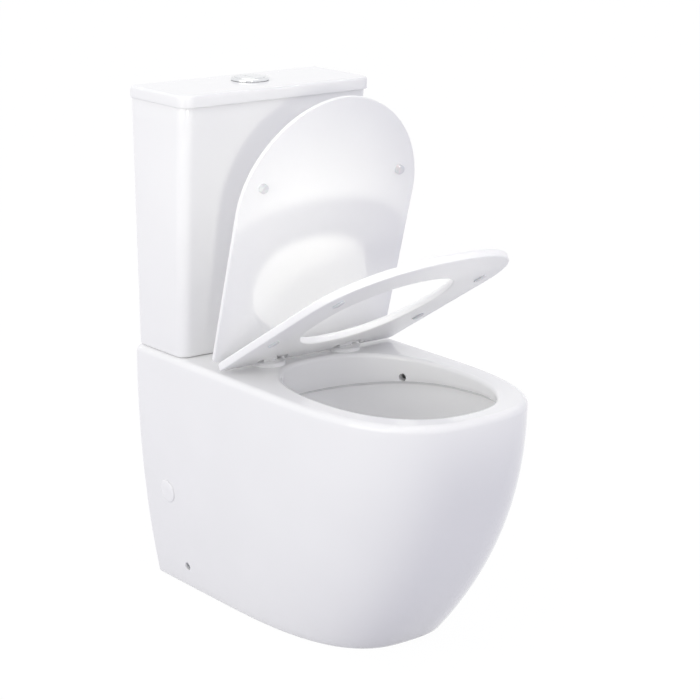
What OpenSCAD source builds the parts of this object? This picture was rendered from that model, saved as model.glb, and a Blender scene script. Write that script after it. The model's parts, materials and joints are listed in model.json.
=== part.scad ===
// Close-coupled, back to wall toilet: a glazed pan with a tapering skirt and a rimless bowl, a cistern
// with a dual flush, and a slim seat and cover on two hinges. Millimetres. The wall is the plane y = 0,
// the front points towards -Y, the floor is z = 0. The seat and cover are drawn part way down.

/* [Pan] */
// Width of the pan at its deck
pan_w = 360; // [345:1:390]
// Reach of the pan from the wall
pan_l = 650; // [625:1:690]
// Height of the deck above the floor
pan_h = 405; // [395:1:440]
// Width of the foot on the floor
foot_w = 284; // [260:1:310]
// Reach of the foot from the wall
foot_l = 485; // [460:1:520]
// Straight part of each side at the deck, from the wall
side_l = 351; // [320:1:370]
// Straight part of each side at the floor, from the wall
foot_side_l = 175; // [140:1:220]
// Squareness of the front curve, 2 is an ellipse
front_n = 2.88; // [2.4:0.02:3.4]
// How fast the sides swell out above the foot
side_swell = 2.2; // [1.8:0.05:2.8]
// How fast the front swells out above the foot
front_swell = 2.16; // [1.8:0.05:2.8]
// Radius of the soft shoulder round the deck
shoulder_r = 11; // [7:0.5:14]
// Thickness of the glazed wall
wall = 12; // [9:0.5:15]
// Thickness of the deck
deck_t = 16; // [12:0.5:20]
// Radius of the foot's edge on the floor
foot_round = 8; // [3:0.5:10]

/* [Bowl] */
// Width of the bowl's opening
bowl_w = 272; // [250:1:280]
// Distance from the wall to the rear edge of the opening
bowl_rear = 241; // [238:1:260]
// Width of the rim in front of the opening
front_rim = 37; // [30:1:50]
// Squareness of the opening
bowl_n = 2.28; // [2:0.02:2.8]
// Height of the flush lip at the front and sides
lip_front = 16; // [12:0.5:24]
// Height of the flush lip at the back
lip_back = 54; // [40:1:60]
// How far the bowl steps out behind the lip
undercut = 7; // [4:0.5:9]
// Width of the sump
sump_w = 92; // [80:1:110]
// Length of the sump
sump_l = 96; // [88:1:120]
// Distance from the wall to the middle of the sump
sump_y = 345; // [340:1:360]
// Height of the sump's floor
sump_z = 62; // [56:1:70]
// Diameter of the flush outlet in the bowl
nozzle_d = 13; // [10:0.5:16]

/* [Waste outlet] */
// Outside diameter of the spigot
spigot_d = 102; // [96:1:110]
// Thickness of the spigot and the trap
spigot_wall = 9; // [7:0.5:11]
// Height of the spigot's centre above the floor
spigot_h = 185; // [175:1:195]
// Gap between the spigot's end and the wall
spigot_back = 25; // [15:1:60]
// Radius of the narrowest part of the trap's waterway
passage_r = 28; // [25:0.5:30]
// Height of the centre of the trap's top bend
trap_h = 204; // [198:1:212]

/* [Skirt openings] */
// Diameter of the round cover caps on the sides
cap_d = 38; // [32:1:44]
// Diameter of the hole behind each cap
cap_hole_d = 30; // [24:1:30]
// Distance from the wall to the cap's centre
cap_y = 67; // [55:1:80]
// Height of the cap's centre
cap_z = 169; // [150:1:185]
// Diameter of the side fixing holes at their mouths
side_hole_d = 13.5; // [12:0.5:16]
// Depth of that wide part of the side fixing holes
side_hole_deep = 7; // [5:0.5:8]
// Distance from the wall to the side fixing holes
side_hole_y = 95; // [80:1:120]
// Height of the side fixing holes
side_hole_z = 42; // [36:1:50]
// Diameter of the bracket's hole for the floor screw
floor_hole_d = 8; // [6:0.5:9]

/* [Cistern] */
// Overall height of the cistern lid above the floor
total_h = 830; // [790:1:860]
// How far the tank's top stands out past the pan's side
tank_side = 1; // [-5:0.5:6]
// How much narrower the tank is at its bottom
tank_taper = 14; // [4:1:24]
// Depth of the tank at its top
tank_d = 148; // [140:1:160]
// Depth of the tank at its bottom
tank_d_low = 122; // [118:1:135]
// Radius of the tank's front corners
tank_r = 20; // [12:1:26]
// Thickness of the tank's walls
tank_t = 9; // [8:0.5:12]
// Thickness of the tank's floor
tank_floor = 14; // [11:0.5:18]
// How far the lid stands out past the tank's sides
lid_over = 3; // [1:0.5:6]
// How far the lid stands out past the tank's front
lid_over_front = 6; // [2:0.5:8]
// Height of the lid's edge
lid_edge = 20; // [18:0.5:30]
// Thickness of the lid's top
lid_t = 10; // [8:0.5:12]
// How far the lid lifts to come off
lid_lift = 60; // [40:1:100]

/* [Flush buttons] */
// Outside diameter of the button ring
ring_d = 62; // [58:1:70]
// Diameter across the two buttons
button_d = 48; // [44:0.5:50]
// Height of the ring above the lid
ring_h = 5; // [4:0.5:7]
// Gap between the two buttons
button_gap = 1; // [0.6:0.1:2]
// Where the split is, towards the small button, from the centre
button_split = 5; // [0:0.5:8]
// How far a button goes down
button_travel = 6; // [4:0.5:7]
// Distance from the wall to the flush valve and the buttons
valve_y = 70; // [66:1:74]

/* [Flush and fill valves] */
// Outside diameter of the flush valve's threaded tail
tail_d = 58; // [54:1:62]
// Diameter of the overflow tube
overflow_d = 28; // [24:1:32]
// Height of the overflow tube's top above the tank's floor
overflow_h = 262; // [240:1:275]
// Distance from the fill valve to the tank's side
fill_side = 45; // [43:1:49]
// Outside diameter of the fill valve's threaded tail, half inch pipe thread
inlet_d = 20.96; // [20.5:0.02:21.5]
// How far the fill valve's tail stands below the tank
inlet_len = 42; // [36:1:50]
// Diameter of the float
float_d = 38; // [34:0.5:40]
// How far the float drops
float_drop = 22; // [16:1:24]
// Distance between the fill valve and the cistern bolt beside it
couple_gap = 31; // [29:0.5:33]
// Diameter of those bolts
couple_d = 8; // [6:0.5:10]

/* [Seat and cover] */
// Width of the seat and the cover
seat_w = 342; // [330:1:350]
// Reach of the seat in front of the hinge axis
seat_l = 427; // [410:1:429]
// Straight part of the seat's sides in front of the hinge axis
seat_side_l = 262; // [240:1:280]
// Squareness of the seat's front curve
seat_n = 2.33; // [2.1:0.01:2.5]
// Straight part of the cover's sides in front of the hinge axis
cover_side_l = 250; // [235:1:270]
// Squareness of the cover's front curve
cover_n = 1.93; // [1.85:0.01:2.3]
// How far the seat and cover reach behind the hinge axis
seat_back = 4; // [2:0.5:6]
// Thickness of the seat ring
seat_t = 14; // [12:0.5:16]
// Thickness of the cover
cover_t = 9.5; // [8:0.5:12]
// Space between the closed seat and the cover
seat_gap = 8.5; // [8:0.5:10]
// Space between the closed seat and the deck
deck_gap = 3; // [2:0.5:4]
// Width of the seat's opening
hole_w = 214; // [200:1:230]
// Start of the seat's opening in front of the hinge axis
hole_from = 62; // [56:1:75]
// End of the seat's opening in front of the hinge axis
hole_to = 340; // [325:1:355]
// Angle of the seat as drawn, above closed
seat_angle = 31; // [20:0.5:32]
// Angle of the cover as drawn, above closed
cover_angle = 74.5; // [72:0.5:78]

/* [Hinges] */
// Distance from the wall to the hinge axis
hinge_y = 220; // [216:1:222]
// Height of the hinge axis above the deck
hinge_rise = 14; // [13.5:0.5:16]
// Distance between the two hinge bolts
hinge_x = 150; // [144:1:156]
// Diameter of the round hinge plate
plate_d = 56; // [50:1:58]
// Height of the hinge plate
plate_h = 6; // [5:0.1:6]
// Radius of the hinge barrels
barrel_r = 7.5; // [7:0.1:7.5]
// Radius of the hinge pin
pin_r = 3; // [2.5:0.1:3.2]
// Wall of the damper sleeve round the pin
sleeve_t = 1.8; // [1.5:0.1:2]
// Radius of the hinge bolt
bolt_r = 4; // [3:0.5:4]

/* [Hidden] */
$fn = 64;

// a running fit, a loose fit, a face-to-face seat and a small overlap that joins solids
run = 0.05;
loose = 0.5;
seat_clear = 0.3;
join = 1;
past = 5;

glaze = [0.96, 0.96, 0.965];
resin = [0.97, 0.97, 0.97];
plastic = [0.9, 0.91, 0.92];
blue_plastic = [0.3, 0.5, 0.75];
rubber = [0.12, 0.12, 0.13];
soft_white = [0.86, 0.87, 0.88];
steel = [0.75, 0.76, 0.77];
chrome = [0.82, 0.83, 0.85];

tank_w = pan_w + 2 * tank_side;
tank_w_low = tank_w - tank_taper;
fill_x = tank_w / 2 - fill_side;
couple_x = 2 * (fill_x - couple_gap);

module both_sides() {
    children();
    mirror([1, 0, 0]) children();
}

// ---------- lofted surfaces ----------

function power(v, n) = sign(v) * pow(abs(v), n);

// A D shape, anticlockwise seen from above: straight sides of length side from the rear line,
// then a superellipse round the front. y runs from 0 at the rear line to -reach.
side_steps = 5;
front_steps = 44;
function d_outline(w, reach, side, n, back = 0) = [
    for (i = [0 : side_steps - 1]) [-w / 2, back - (back + side) * i / side_steps],
    for (i = [0 : front_steps]) let (t = 180 * i / front_steps)
        [-w / 2 * power(cos(t), 2 / n), -side - (reach - side) * power(sin(t), 2 / n)],
    for (i = [side_steps - 1 : -1 : 0]) [w / 2, back - (back + side) * i / side_steps]
];

// A closed superellipse, anticlockwise from its rear point
oval_steps = 56;
function oval(w, rear, front, n) = [
    for (i = [0 : oval_steps - 1]) let (t = 360 * i / oval_steps)
        [-w / 2 * power(sin(t), 2 / n), -(rear + front) / 2 + (front - rear) / 2 * power(cos(t), 2 / n)]
];

function at_height(loop, z) = [for (p = loop) [p[0], p[1], z]];

function middle(loop) = [for (k = [0 : 2]) (min([for (p = loop) p[k]]) + max([for (p = loop) p[k]])) / 2];

// Joins loops of equal length, lowest first, into a closed solid with flat ends
module loft(loops) {
    n = len(loops[0]);
    m = len(loops);
    low = m * n;
    faces = [
        for (k = [0 : m - 2]) for (i = [0 : n - 1]) let (j = (i + 1) % n)
            each [[k * n + i, (k + 1) * n + i, (k + 1) * n + j], [k * n + i, (k + 1) * n + j, k * n + j]],
        for (i = [0 : n - 1]) let (j = (i + 1) % n)
            each [[i, j, low], [(m - 1) * n + j, (m - 1) * n + i, low + 1]]
    ];
    polyhedron(points = [for (l = loops) each l, middle(loops[0]), middle(loops[m - 1])], faces = faces);
}

// Joins loops into a ring: the last loop meets the first again
module ring_loft(loops) {
    n = len(loops[0]);
    m = len(loops);
    faces = [
        for (k = [0 : m - 1]) for (i = [0 : n - 1]) let (j = (i + 1) % n, l = (k + 1) % m)
            each [[k * n + i, l * n + i, l * n + j], [k * n + i, l * n + j, k * n + j]]
    ];
    polyhedron(points = [for (l = loops) each l], faces = faces);
}

// ---------- shape of the pan ----------

function swell_at(z, p) = 1 - pow(1 - min(max(z / pan_h, 0), 1), p);
function half_width(z) = (foot_w + (pan_w - foot_w) * swell_at(z, side_swell)) / 2;
function lean(z) = atan((half_width(z + 1) - half_width(z - 1)) / 2);
function pan_loop(z, inset, back) = let (k = swell_at(z, front_swell))
    at_height(d_outline(2 * (half_width(z) - inset), foot_l + (pan_l - foot_l) * k - inset,
        foot_side_l + (side_l - foot_side_l) * k, front_n, back), z);

foot_steps = 3;
skirt_steps = 11;
shoulder_steps = 5;
skirt_top = pan_h - shoulder_r;
foot_angles = [for (i = [0 : foot_steps]) 90 * i / foot_steps];
skirt_levels = [for (i = [1 : skirt_steps]) foot_round + (skirt_top - foot_round) * i / skirt_steps];
shoulder_angles = [for (i = [1 : shoulder_steps]) 90 * i / shoulder_steps];

// Runs past the floor and the wall, where above() and below() cut it flat
module pan_skin() {
    loft(concat(
        [pan_loop(-join, foot_round, join)],
        [for (a = foot_angles) pan_loop(foot_round * (1 - cos(a)), foot_round * (1 - sin(a)), join)],
        [for (z = skirt_levels) pan_loop(z, 0, join)],
        [for (a = shoulder_angles)
            pan_loop(skirt_top + shoulder_r * sin(a), shoulder_r * (1 - cos(a)), join)]));
}

// The hollow inside the skirt, open to the floor and to the wall
cavity_steps = 6;
cavity_top = pan_h - deck_t;
module skirt_cavity() {
    loft([for (i = [0 : cavity_steps])
        pan_loop(-past + (cavity_top + past) * i / cavity_steps, wall, past)]);
}

// ---------- shape of the bowl ----------

bowl_front = pan_l - front_rim;
edge_r = 7;
step_drop = 5;
bowl_steps = 7;
function backness(i) = pow((1 + cos(360 * i / oval_steps)) / 2, 1.5);
function lip_z(i) = pan_h - lip_front - (lip_back - lip_front) * backness(i);
function grown(g) = oval(bowl_w + 2 * g, bowl_rear - g, bowl_front + g, bowl_n);
sump = oval(sump_w, sump_y - sump_l / 2, sump_y + sump_l / 2, 2.2);
function bowl_fall(t, back) = (1 - back) * pow(1 - pow(t, 1.9), 0.72) + back * (1 - t);
function bowl_loop(t, g) = let (outer = grown(undercut + g))
    [for (i = [0 : oval_steps - 1]) let (top = lip_z(i) - step_drop, k = bowl_fall(t, backness(i)))
        [outer[i][0] * k + (sump[i][0] * (1 + 2 * g / sump_w)) * (1 - k),
         outer[i][1] * k + (-sump_y + (sump[i][1] + sump_y) * (1 + 2 * g / sump_l)) * (1 - k),
         top + (sump_z - g - top) * t]];

module bowl_space() {
    lip = grown(0);
    loft(concat(
        [for (k = [bowl_steps : -1 : 0]) bowl_loop(k / bowl_steps, 0)],
        [[for (i = [0 : oval_steps - 1]) [lip[i][0], lip[i][1], lip_z(i)]]],
        [at_height(grown(0), pan_h - edge_r), at_height(grown(edge_r * 0.3), pan_h - edge_r * 0.3),
         at_height(grown(edge_r), pan_h), at_height(grown(edge_r), pan_h + past)]));
}

module bowl_shell() {
    loft(concat(
        [for (k = [bowl_steps : -1 : 0]) bowl_loop(k / bowl_steps, wall)],
        [at_height(grown(undercut + wall), pan_h - 2)]));
}

// ---------- trap and waterway ----------

// The trap's centre line lies in the plane x = 0, as [y, z]: along the sump's floor, up, over and down
spigot_r = spigot_d / 2;
spigot_bore = spigot_r - spigot_wall;
low_bend = 45;
top_bend = 48;
rise = 75;
fall = 14;
bend_steps = 5;
trap_low = sump_z + passage_r + 1.5;
low_centre = [60 - sump_y, trap_low + low_bend];
rise_end = trap_h - top_bend * (1 - cos(rise));
rise_run = (rise_end - trap_low - low_bend * (1 - cos(rise))) / tan(rise);
top_centre = [low_centre[0] + (low_bend + top_bend) * sin(rise) + rise_run, trap_h - top_bend];
fall_run = (trap_h - top_bend * (1 - cos(fall)) - spigot_h) / tan(fall);
spigot_from = top_centre[0] + top_bend * sin(fall) + fall_run;
trap_path = concat(
    [[-sump_y + 15, trap_low]],
    [for (i = [0 : bend_steps]) let (a = rise * i / bend_steps)
        low_centre + low_bend * [sin(a), -cos(a)]],
    [for (i = [0 : bend_steps]) let (a = rise - (rise + fall) * i / bend_steps)
        top_centre + top_bend * [-sin(a), cos(a)]],
    [[spigot_from, spigot_h], [spigot_from + 2 * join, spigot_h]]);
ring_points = 24;

function trap_ring(k, extra) = let (last = len(trap_path) - 1, p = trap_path[k],
    d = trap_path[min(k + 1, last)] - trap_path[max(k - 1, 0)], a = atan2(d[1], d[0]),
    r = passage_r + (spigot_bore - 1.5 - passage_r) * k / last + extra)
    [for (i = [0 : ring_points - 1]) let (t = 360 * i / ring_points)
        [-r * cos(t), p[0] - r * sin(t) * sin(a), p[1] + r * sin(t) * cos(a)]];

module trap_run(extra) {
    loft([for (k = [0 : len(trap_path) - 1]) trap_ring(k, extra)]);
}

module along_spigot(r, from, to) {
    translate([0, from, spigot_h]) rotate([-90, 0, 0]) cylinder(r = r, h = to - from);
}

// The flush water: a recess for the cistern's gasket, a shallow chamber and a channel to the outlet
recess_r = 48;
recess_depth = 34;
recess_floor = pan_h - recess_depth;
inlet_r = 27;
chamber_top = recess_floor - 9;
chamber_h = 17;
chamber_left = 36;
chamber_right = couple_x / 2 - 29;
channel_r = 8;
jacket_t = 6;
nozzle_at = [bowl_w / 2 - 21, -bowl_rear - 80, pan_h - recess_depth];
channel_from = [chamber_right - 10, -valve_y - 22, chamber_top - chamber_h / 2];
channel_to = nozzle_at + [20, 8, 0];

module run_between(a, b, r, before = 0, after = 0) {
    d = b - a;
    translate(a) rotate([0, 0, atan2(d[1], d[0])]) rotate([0, 90 - atan2(d[2], norm([d[0], d[1]])), 0])
        translate([0, 0, -before]) cylinder(r = r, h = norm(d) + before + after);
}

module waterway_block() {
    z0 = chamber_top - chamber_h - wall;
    translate([-recess_r - 8, -valve_y - 56, z0])
        cube([recess_r + 8 + chamber_right + wall, valve_y + 40, pan_h - deck_t / 2 - z0]);
    run_between(channel_from, channel_to, channel_r + jacket_t, 0, 8);
}

module waterway_space() {
    translate([0, -valve_y, recess_floor]) cylinder(r = recess_r, h = pan_h);
    translate([0, -valve_y, chamber_top - join]) cylinder(r = inlet_r, h = pan_h);
    translate([-chamber_left, -valve_y - 44, chamber_top - chamber_h])
        cube([chamber_left + chamber_right, 84, chamber_h]);
    run_between(channel_from, channel_to, channel_r, 0, 3);
    run_between(channel_to, nozzle_at, nozzle_d / 2, 0, 12);
}

module deck_holes() {
    for (s = [-1, 1]) {
        translate([s * couple_x / 2, -valve_y, cavity_top - past])
            cylinder(d = couple_d + 4, h = deck_t + 2 * past);
        translate([s * hinge_x / 2, -hinge_y, cavity_top - past])
            cylinder(r = bolt_r + 3, h = deck_t + 2 * past);
    }
    translate([-fill_x, -valve_y, cavity_top - past]) cylinder(r = fill_nut_r + 3, h = deck_t + 2 * past);
}

module side_holes() {
    for (s = [-1, 1]) {
        translate([s * half_width(cap_z), -cap_y, cap_z]) rotate([0, s * 90, 0])
            translate([0, 0, -2 * wall]) cylinder(d = cap_hole_d, h = 3 * wall);
        translate([s * half_width(side_hole_z), -side_hole_y, side_hole_z]) rotate([0, s * 90, 0]) {
            translate([0, 0, -2 * wall]) cylinder(r = side_screw_r + 1, h = 3 * wall);
            translate([0, 0, -side_hole_deep]) cylinder(d = side_hole_d, h = 2 * wall);
        }
    }
}

// The pan is one casting, stuck together from five pieces before it is fired: the deck with the
// rim, the skirt under it, the bowl, the trap with its spigot, and the flush way. They meet on their
// faces, and below(z) and above(z) keep what lies between the floor, the wall and the deck's underside.
module above(z) {
    translate([-pan_w, -2 * pan_l, z]) cube([2 * pan_w, 2 * pan_l, pan_h]);
}

module below(z) {
    translate([-pan_w, -2 * pan_l, 0]) cube([2 * pan_w, 2 * pan_l, z]);
}

module pan_deck() {
    color(glaze) difference() {
        intersection() {
            pan_skin();
            above(cavity_top);
        }
        bowl_space();
        waterway_space();
        deck_holes();
    }
}

module pan_skirt() {
    color(glaze) difference() {
        intersection() {
            pan_skin();
            below(cavity_top);
        }
        skirt_cavity();
        side_holes();
    }
}

module pan_bowl() {
    color(glaze) difference() {
        intersection() {
            bowl_shell();
            below(cavity_top);
        }
        bowl_space();
        trap_run(0);
        waterway_space();
    }
}

module pan_trap() {
    color(glaze) difference() {
        union() {
            trap_run(spigot_wall - join);
            along_spigot(spigot_r, spigot_from - join, -spigot_back);
        }
        bowl_shell();
        trap_run(0);
        along_spigot(spigot_bore, spigot_from, 0);
    }
}

module pan_flush_way() {
    color(glaze) difference() {
        intersection() {
            waterway_block();
            below(cavity_top);
        }
        bowl_shell();
        waterway_space();
    }
}

// ---------- skirt fittings ----------

cap_dome = 2.5;
cap_edge = 2.4;
cap_plug = wall + 5;
cap_stem_r = cap_hole_d / 2 - 2;
module side_caps() {
    color(resin) both_sides() translate([half_width(cap_z) + seat_clear, -cap_y, cap_z])
        rotate([0, 90 + lean(cap_z), 0]) rotate_extrude() polygon(concat(
            [[0, -cap_plug], [cap_stem_r, -cap_plug], [cap_stem_r, 0]],
            [for (a = [0 : 18 : 90]) [cap_d / 2 - cap_edge + cap_edge * cos(a), cap_dome * sin(a)]],
            [[0, cap_dome]]));
}

bracket_t = 3;
bracket_w = 40;
bracket_h = 62;
bracket_foot = 44;
function skirt_inside(z) = half_width(z) - wall;
bracket_x = skirt_inside(0) - 2;
module floor_brackets() {
    color(steel) both_sides() difference() {
        union() {
            translate([bracket_x - bracket_foot, -side_hole_y - bracket_w / 2, 0])
                cube([bracket_foot, bracket_w, bracket_t]);
            translate([bracket_x - bracket_t, -side_hole_y - bracket_w / 2, 0])
                cube([bracket_t, bracket_w, bracket_h]);
        }
        translate([bracket_x - bracket_foot / 2, -side_hole_y, -past])
            cylinder(d = floor_hole_d, h = bracket_t + 2 * past);
        translate([bracket_x - past - bracket_t, -side_hole_y, side_hole_z]) rotate([0, 90, 0])
            cylinder(r = side_screw_r + run, h = bracket_t + 2 * past);
    }
}

side_screw_r = 3;
side_head_r = side_hole_d / 2 - 0.6;
side_head_t = 3.5;
module side_screws() {
    head_at = half_width(side_hole_z) - side_hole_deep + seat_clear;
    slot = 1.2;
    color(steel) both_sides() translate([0, -side_hole_y, side_hole_z]) rotate([0, 90, 0]) difference() {
        union() {
            translate([0, 0, head_at]) cylinder(r = side_head_r, h = side_head_t);
            translate([0, 0, bracket_x - 12]) cylinder(r = side_screw_r, h = head_at - bracket_x + 13);
        }
        for (a = [0, 90]) translate([0, 0, head_at + side_head_t / 2]) rotate([0, 0, a])
            translate([-slot / 2, -side_head_r * 0.6, 0]) cube([slot, side_head_r * 1.2, side_head_t]);
    }
}

// ---------- cistern ----------

tank_top = total_h - lid_edge;
tank_inside = pan_h + tank_floor;
rear_r = 5;

// A rectangle against the wall with rounded corners
module slab(w, d, front_r, back_r, h) {
    linear_extrude(h) hull() for (s = [-1, 1]) {
        translate([s * (w / 2 - front_r), -d + front_r]) circle(r = front_r, $fn = 32);
        translate([s * (w / 2 - back_r), -back_r]) circle(r = back_r, $fn = 16);
    }
}

skin = 0.01;
module tank_body(inset, z0, z1) {
    k0 = (z0 - pan_h) / (tank_top - pan_h);
    k1 = (z1 - pan_h) / (tank_top - pan_h);
    w0 = tank_w_low + (tank_w - tank_w_low) * k0 - 2 * inset;
    w1 = tank_w_low + (tank_w - tank_w_low) * k1 - 2 * inset;
    d0 = tank_d_low + (tank_d - tank_d_low) * k0 - 2 * inset;
    d1 = tank_d_low + (tank_d - tank_d_low) * k1 - 2 * inset;
    hull() {
        translate([0, -inset, z0]) slab(w0, d0, tank_r - inset / 2, rear_r, skin);
        translate([0, -inset, z1 - skin]) slab(w1, d1, tank_r - inset / 2, rear_r, skin);
    }
}

module cistern_tank() {
    color(glaze) difference() {
        tank_body(0, pan_h, tank_top);
        tank_body(tank_t, tank_inside, tank_top + past);
        translate([0, -valve_y, pan_h - past]) cylinder(d = tail_d + 4, h = tank_floor + 2 * past);
        translate([-fill_x, -valve_y, pan_h - past]) cylinder(d = inlet_d + 2, h = tank_floor + 2 * past);
        for (s = [-1, 1]) translate([s * couple_x / 2, -valve_y, pan_h - past])
            cylinder(d = couple_d + 4, h = tank_floor + 2 * past);
    }
}

slab_w = tank_w + 2 * lid_over;
slab_d = tank_d + lid_over_front;
lid_soft = 4;
lid_hole_r = button_d / 2 + 3;
lip_in = tank_t + 3;
lip_t = 6;
lip_h = 9;
module cistern_lid() {
    color(glaze) difference() {
        union() {
            translate([0, 0, tank_top]) slab(slab_w, slab_d, tank_r + 2, rear_r, lid_edge - lid_soft);
            hull() {
                translate([0, 0, total_h - lid_soft]) slab(slab_w, slab_d, tank_r + 2, rear_r, skin);
                translate([0, -0.3, total_h - lid_soft * 0.3])
                    slab(slab_w - 2, slab_d - 1, tank_r + 1, rear_r, skin);
                translate([0, -lid_soft * 0.6, total_h - skin])
                    slab(slab_w - lid_soft * 2, slab_d - lid_soft * 1.6, tank_r - 2, rear_r, skin);
            }
            translate([0, -lip_in, tank_top - lip_h])
                slab(tank_w - 2 * lip_in, tank_d - 2 * lip_in, tank_r - 8, rear_r, lip_h + join);
        }
        translate([0, -lip_in - lip_t, tank_top - lip_h - past])
            slab(tank_w - 2 * (lip_in + lip_t), tank_d - 2 * (lip_in + lip_t), tank_r - 12, rear_r,
                lip_h + past + lid_edge - lid_t);
        translate([0, -valve_y, tank_top]) cylinder(r = lid_hole_r, h = lid_edge + past);
    }
}

// ---------- flush buttons ----------

sleeve_r = lid_hole_r - loose;
sleeve_bore = button_d / 2 + 0.4;
sleeve_foot = total_h - 40;
sleeve_shelf = total_h - 20;
shelf_t = 2.5;
rod_r = 3;
rod_x = 9;
rod_ahead = 17;
ring_top = total_h + ring_h;
module button_ring() {
    color(chrome) translate([0, -valve_y, 0]) rotate_extrude() polygon(concat(
        [[sleeve_bore, sleeve_foot], [sleeve_r, sleeve_foot], [sleeve_r, total_h + seat_clear],
         [ring_d / 2, total_h + seat_clear]],
        [for (a = [0 : 15 : 90]) [ring_d / 2 - 3 + 3 * cos(a), ring_top - 3 + 3 * sin(a)]],
        [[sleeve_bore + 0.8, ring_top], [sleeve_bore, ring_top - 0.8]]));
    color(chrome) translate([0, -valve_y, sleeve_shelf - shelf_t]) difference() {
        cylinder(r = sleeve_bore + join / 2, h = shelf_t);
        for (s = [-1, 1]) translate([s * rod_x, -rod_ahead, -past])
            cylinder(r = rod_r + loose, h = shelf_t + 2 * past);
    }
}

nut_t = 8;
module button_nut() {
    under_lid = total_h - lid_t;
    color(plastic) translate([0, -valve_y, under_lid - nut_t - seat_clear]) difference() {
        union() {
            cylinder(r = sleeve_r + 6, h = nut_t);
            for (i = [0 : 7]) rotate([0, 0, 45 * i]) translate([sleeve_r + 5, -3, 0]) cube([4, 6, nut_t]);
        }
        translate([0, 0, -past]) cylinder(r = sleeve_r + run, h = nut_t + 2 * past);
    }
}

button_low = sleeve_shelf + button_travel + 1;
button_top = ring_top + 1.5;
// One side of the round button, cut off along the split
module button_part(small) {
    cut = -button_split + (small ? -button_gap / 2 : button_gap / 2);
    difference() {
        rotate_extrude() polygon(concat(
            [[0, button_low], [button_d / 2, button_low]],
            [for (a = [0 : 22.5 : 90])
                [button_d / 2 - 1.6 + 1.6 * cos(a), button_top - 1.6 + 1.6 * sin(a)]],
            [[0, button_top]]));
        translate([small ? cut : cut - button_d, -button_d, button_low - past])
            cube([button_d, 2 * button_d, button_top - button_low + 2 * past]);
    }
}

module half_flush_button() {
    color(chrome) translate([0, -valve_y, 0]) button_part(true);
}

module full_flush_button() {
    color(chrome) translate([0, -valve_y, 0]) button_part(false);
}

// A push rod that hangs from its button and stops just over the lever below
module push_rod(x) {
    translate([x, -valve_y - rod_ahead, lever_z + lever_t / 2 + rod_gap])
        cylinder(r = rod_r, h = button_low - lever_z - lever_t / 2 - rod_gap);
}

module half_flush_rod() {
    color(plastic) push_rod(-rod_x);
}

module full_flush_rod() {
    color(plastic) push_rod(rod_x);
}

// ---------- flush valve ----------

valve_flange_r = tail_d / 2 + 8;
washer_t = 3;
valve_floor = tank_inside + washer_t;
tail_drop = 24;
tail_low = pan_h - tail_drop;
valve_bore = tail_d / 2 - 5;
flange_t = 6;
seat_z = valve_floor + 8;
module flush_valve_base() {
    color(plastic) translate([0, -valve_y, 0]) rotate_extrude() polygon([
        [valve_bore, tail_low], [tail_d / 2, tail_low], [tail_d / 2, valve_floor + seat_clear],
        [valve_flange_r, valve_floor + seat_clear], [valve_flange_r, valve_floor + flange_t],
        [valve_bore + 3, valve_floor + flange_t], [valve_bore + 2, seat_z], [valve_bore, seat_z]]);
}

module flat_ring(inner, outer, z, h) {
    translate([0, 0, z]) difference() {
        cylinder(r = outer, h = h);
        translate([0, 0, -past]) cylinder(r = inner, h = h + 2 * past);
    }
}

module flush_valve_washer() {
    color(rubber) translate([0, -valve_y, 0])
        flat_ring(tail_d / 2 + loose, valve_flange_r + 1, tank_inside, washer_t);
}

back_nut_h = 10;
module flush_valve_nut() {
    color(plastic) translate([0, -valve_y, 0]) {
        flat_ring(tail_d / 2 + run, tail_d / 2 + 9, pan_h - back_nut_h - seat_clear, back_nut_h);
    }
}

module coupling_gasket() {
    color(rubber) translate([0, -valve_y, 0])
        flat_ring(tail_d / 2 + loose, recess_r - 3, recess_floor,
            recess_depth - back_nut_h - 2 * seat_clear);
}

tower_r = tail_d / 2 + 2;
tower_t = 2.5;
tower_low = valve_floor + flange_t + seat_clear;
tower_h = 132;
tower_top = tower_low + tower_h;
window_w = 20;
window_h = 52;
overflow_r = overflow_d / 2;
overflow_top = tank_inside + overflow_h;

// Two levers side by side on one pin: a rod pushes the front end down, the rear end lifts the tube
lever_z = overflow_top + 30;
lever_t = 5;
lever_w = 13;
lever_front = rod_ahead + rod_r + 1;
lever_rear = 18;
lever_hub_r = 4.5;
lever_pin_r = 2;
rod_gap = 1;
post_x = rod_x + lever_w / 2 + 2.5;
post_t = 4;
post_w = 14;
module flush_valve_tower() {
    color(plastic) translate([0, -valve_y, 0]) {
        difference() {
            translate([0, 0, tower_low]) cylinder(r = tower_r, h = tower_h);
            translate([0, 0, tower_low - past])
                cylinder(r = tower_r - tower_t, h = tower_h + past - tower_t);
            translate([0, 0, tower_low - past]) cylinder(r = overflow_r + loose, h = tower_h + 2 * past);
            for (a = [45 : 90 : 315]) rotate([0, 0, a]) translate([0, -window_w / 2, tower_low + 8])
                cube([2 * tower_r, window_w, window_h]);
        }
        difference() {
            both_sides() translate([post_x, -post_w / 2, tower_top - join])
                cube([post_t, post_w, lever_z + 8 - tower_top]);
            translate([-2 * post_x, 0, lever_z]) rotate([0, 90, 0])
                cylinder(r = lever_pin_r + run, h = 4 * post_x);
        }
    }
}

module lever_pin() {
    half = post_x + post_t + 1;
    color(steel) translate([-half, -valve_y, lever_z]) rotate([0, 90, 0])
        cylinder(r = lever_pin_r, h = 2 * half);
}

module lever(x) {
    translate([x, -valve_y, lever_z]) difference() {
        union() {
            translate([-lever_w / 2, -lever_front, -lever_t / 2])
                cube([lever_w, lever_front + lever_rear, lever_t]);
            translate([-lever_w / 2, 0, 0]) rotate([0, 90, 0]) cylinder(r = lever_hub_r, h = lever_w);
        }
        translate([-lever_w, 0, 0]) rotate([0, 90, 0]) cylinder(r = lever_pin_r + run, h = 2 * lever_w);
    }
}

module half_flush_lever() {
    color(blue_plastic) lever(-rod_x);
}

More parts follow.
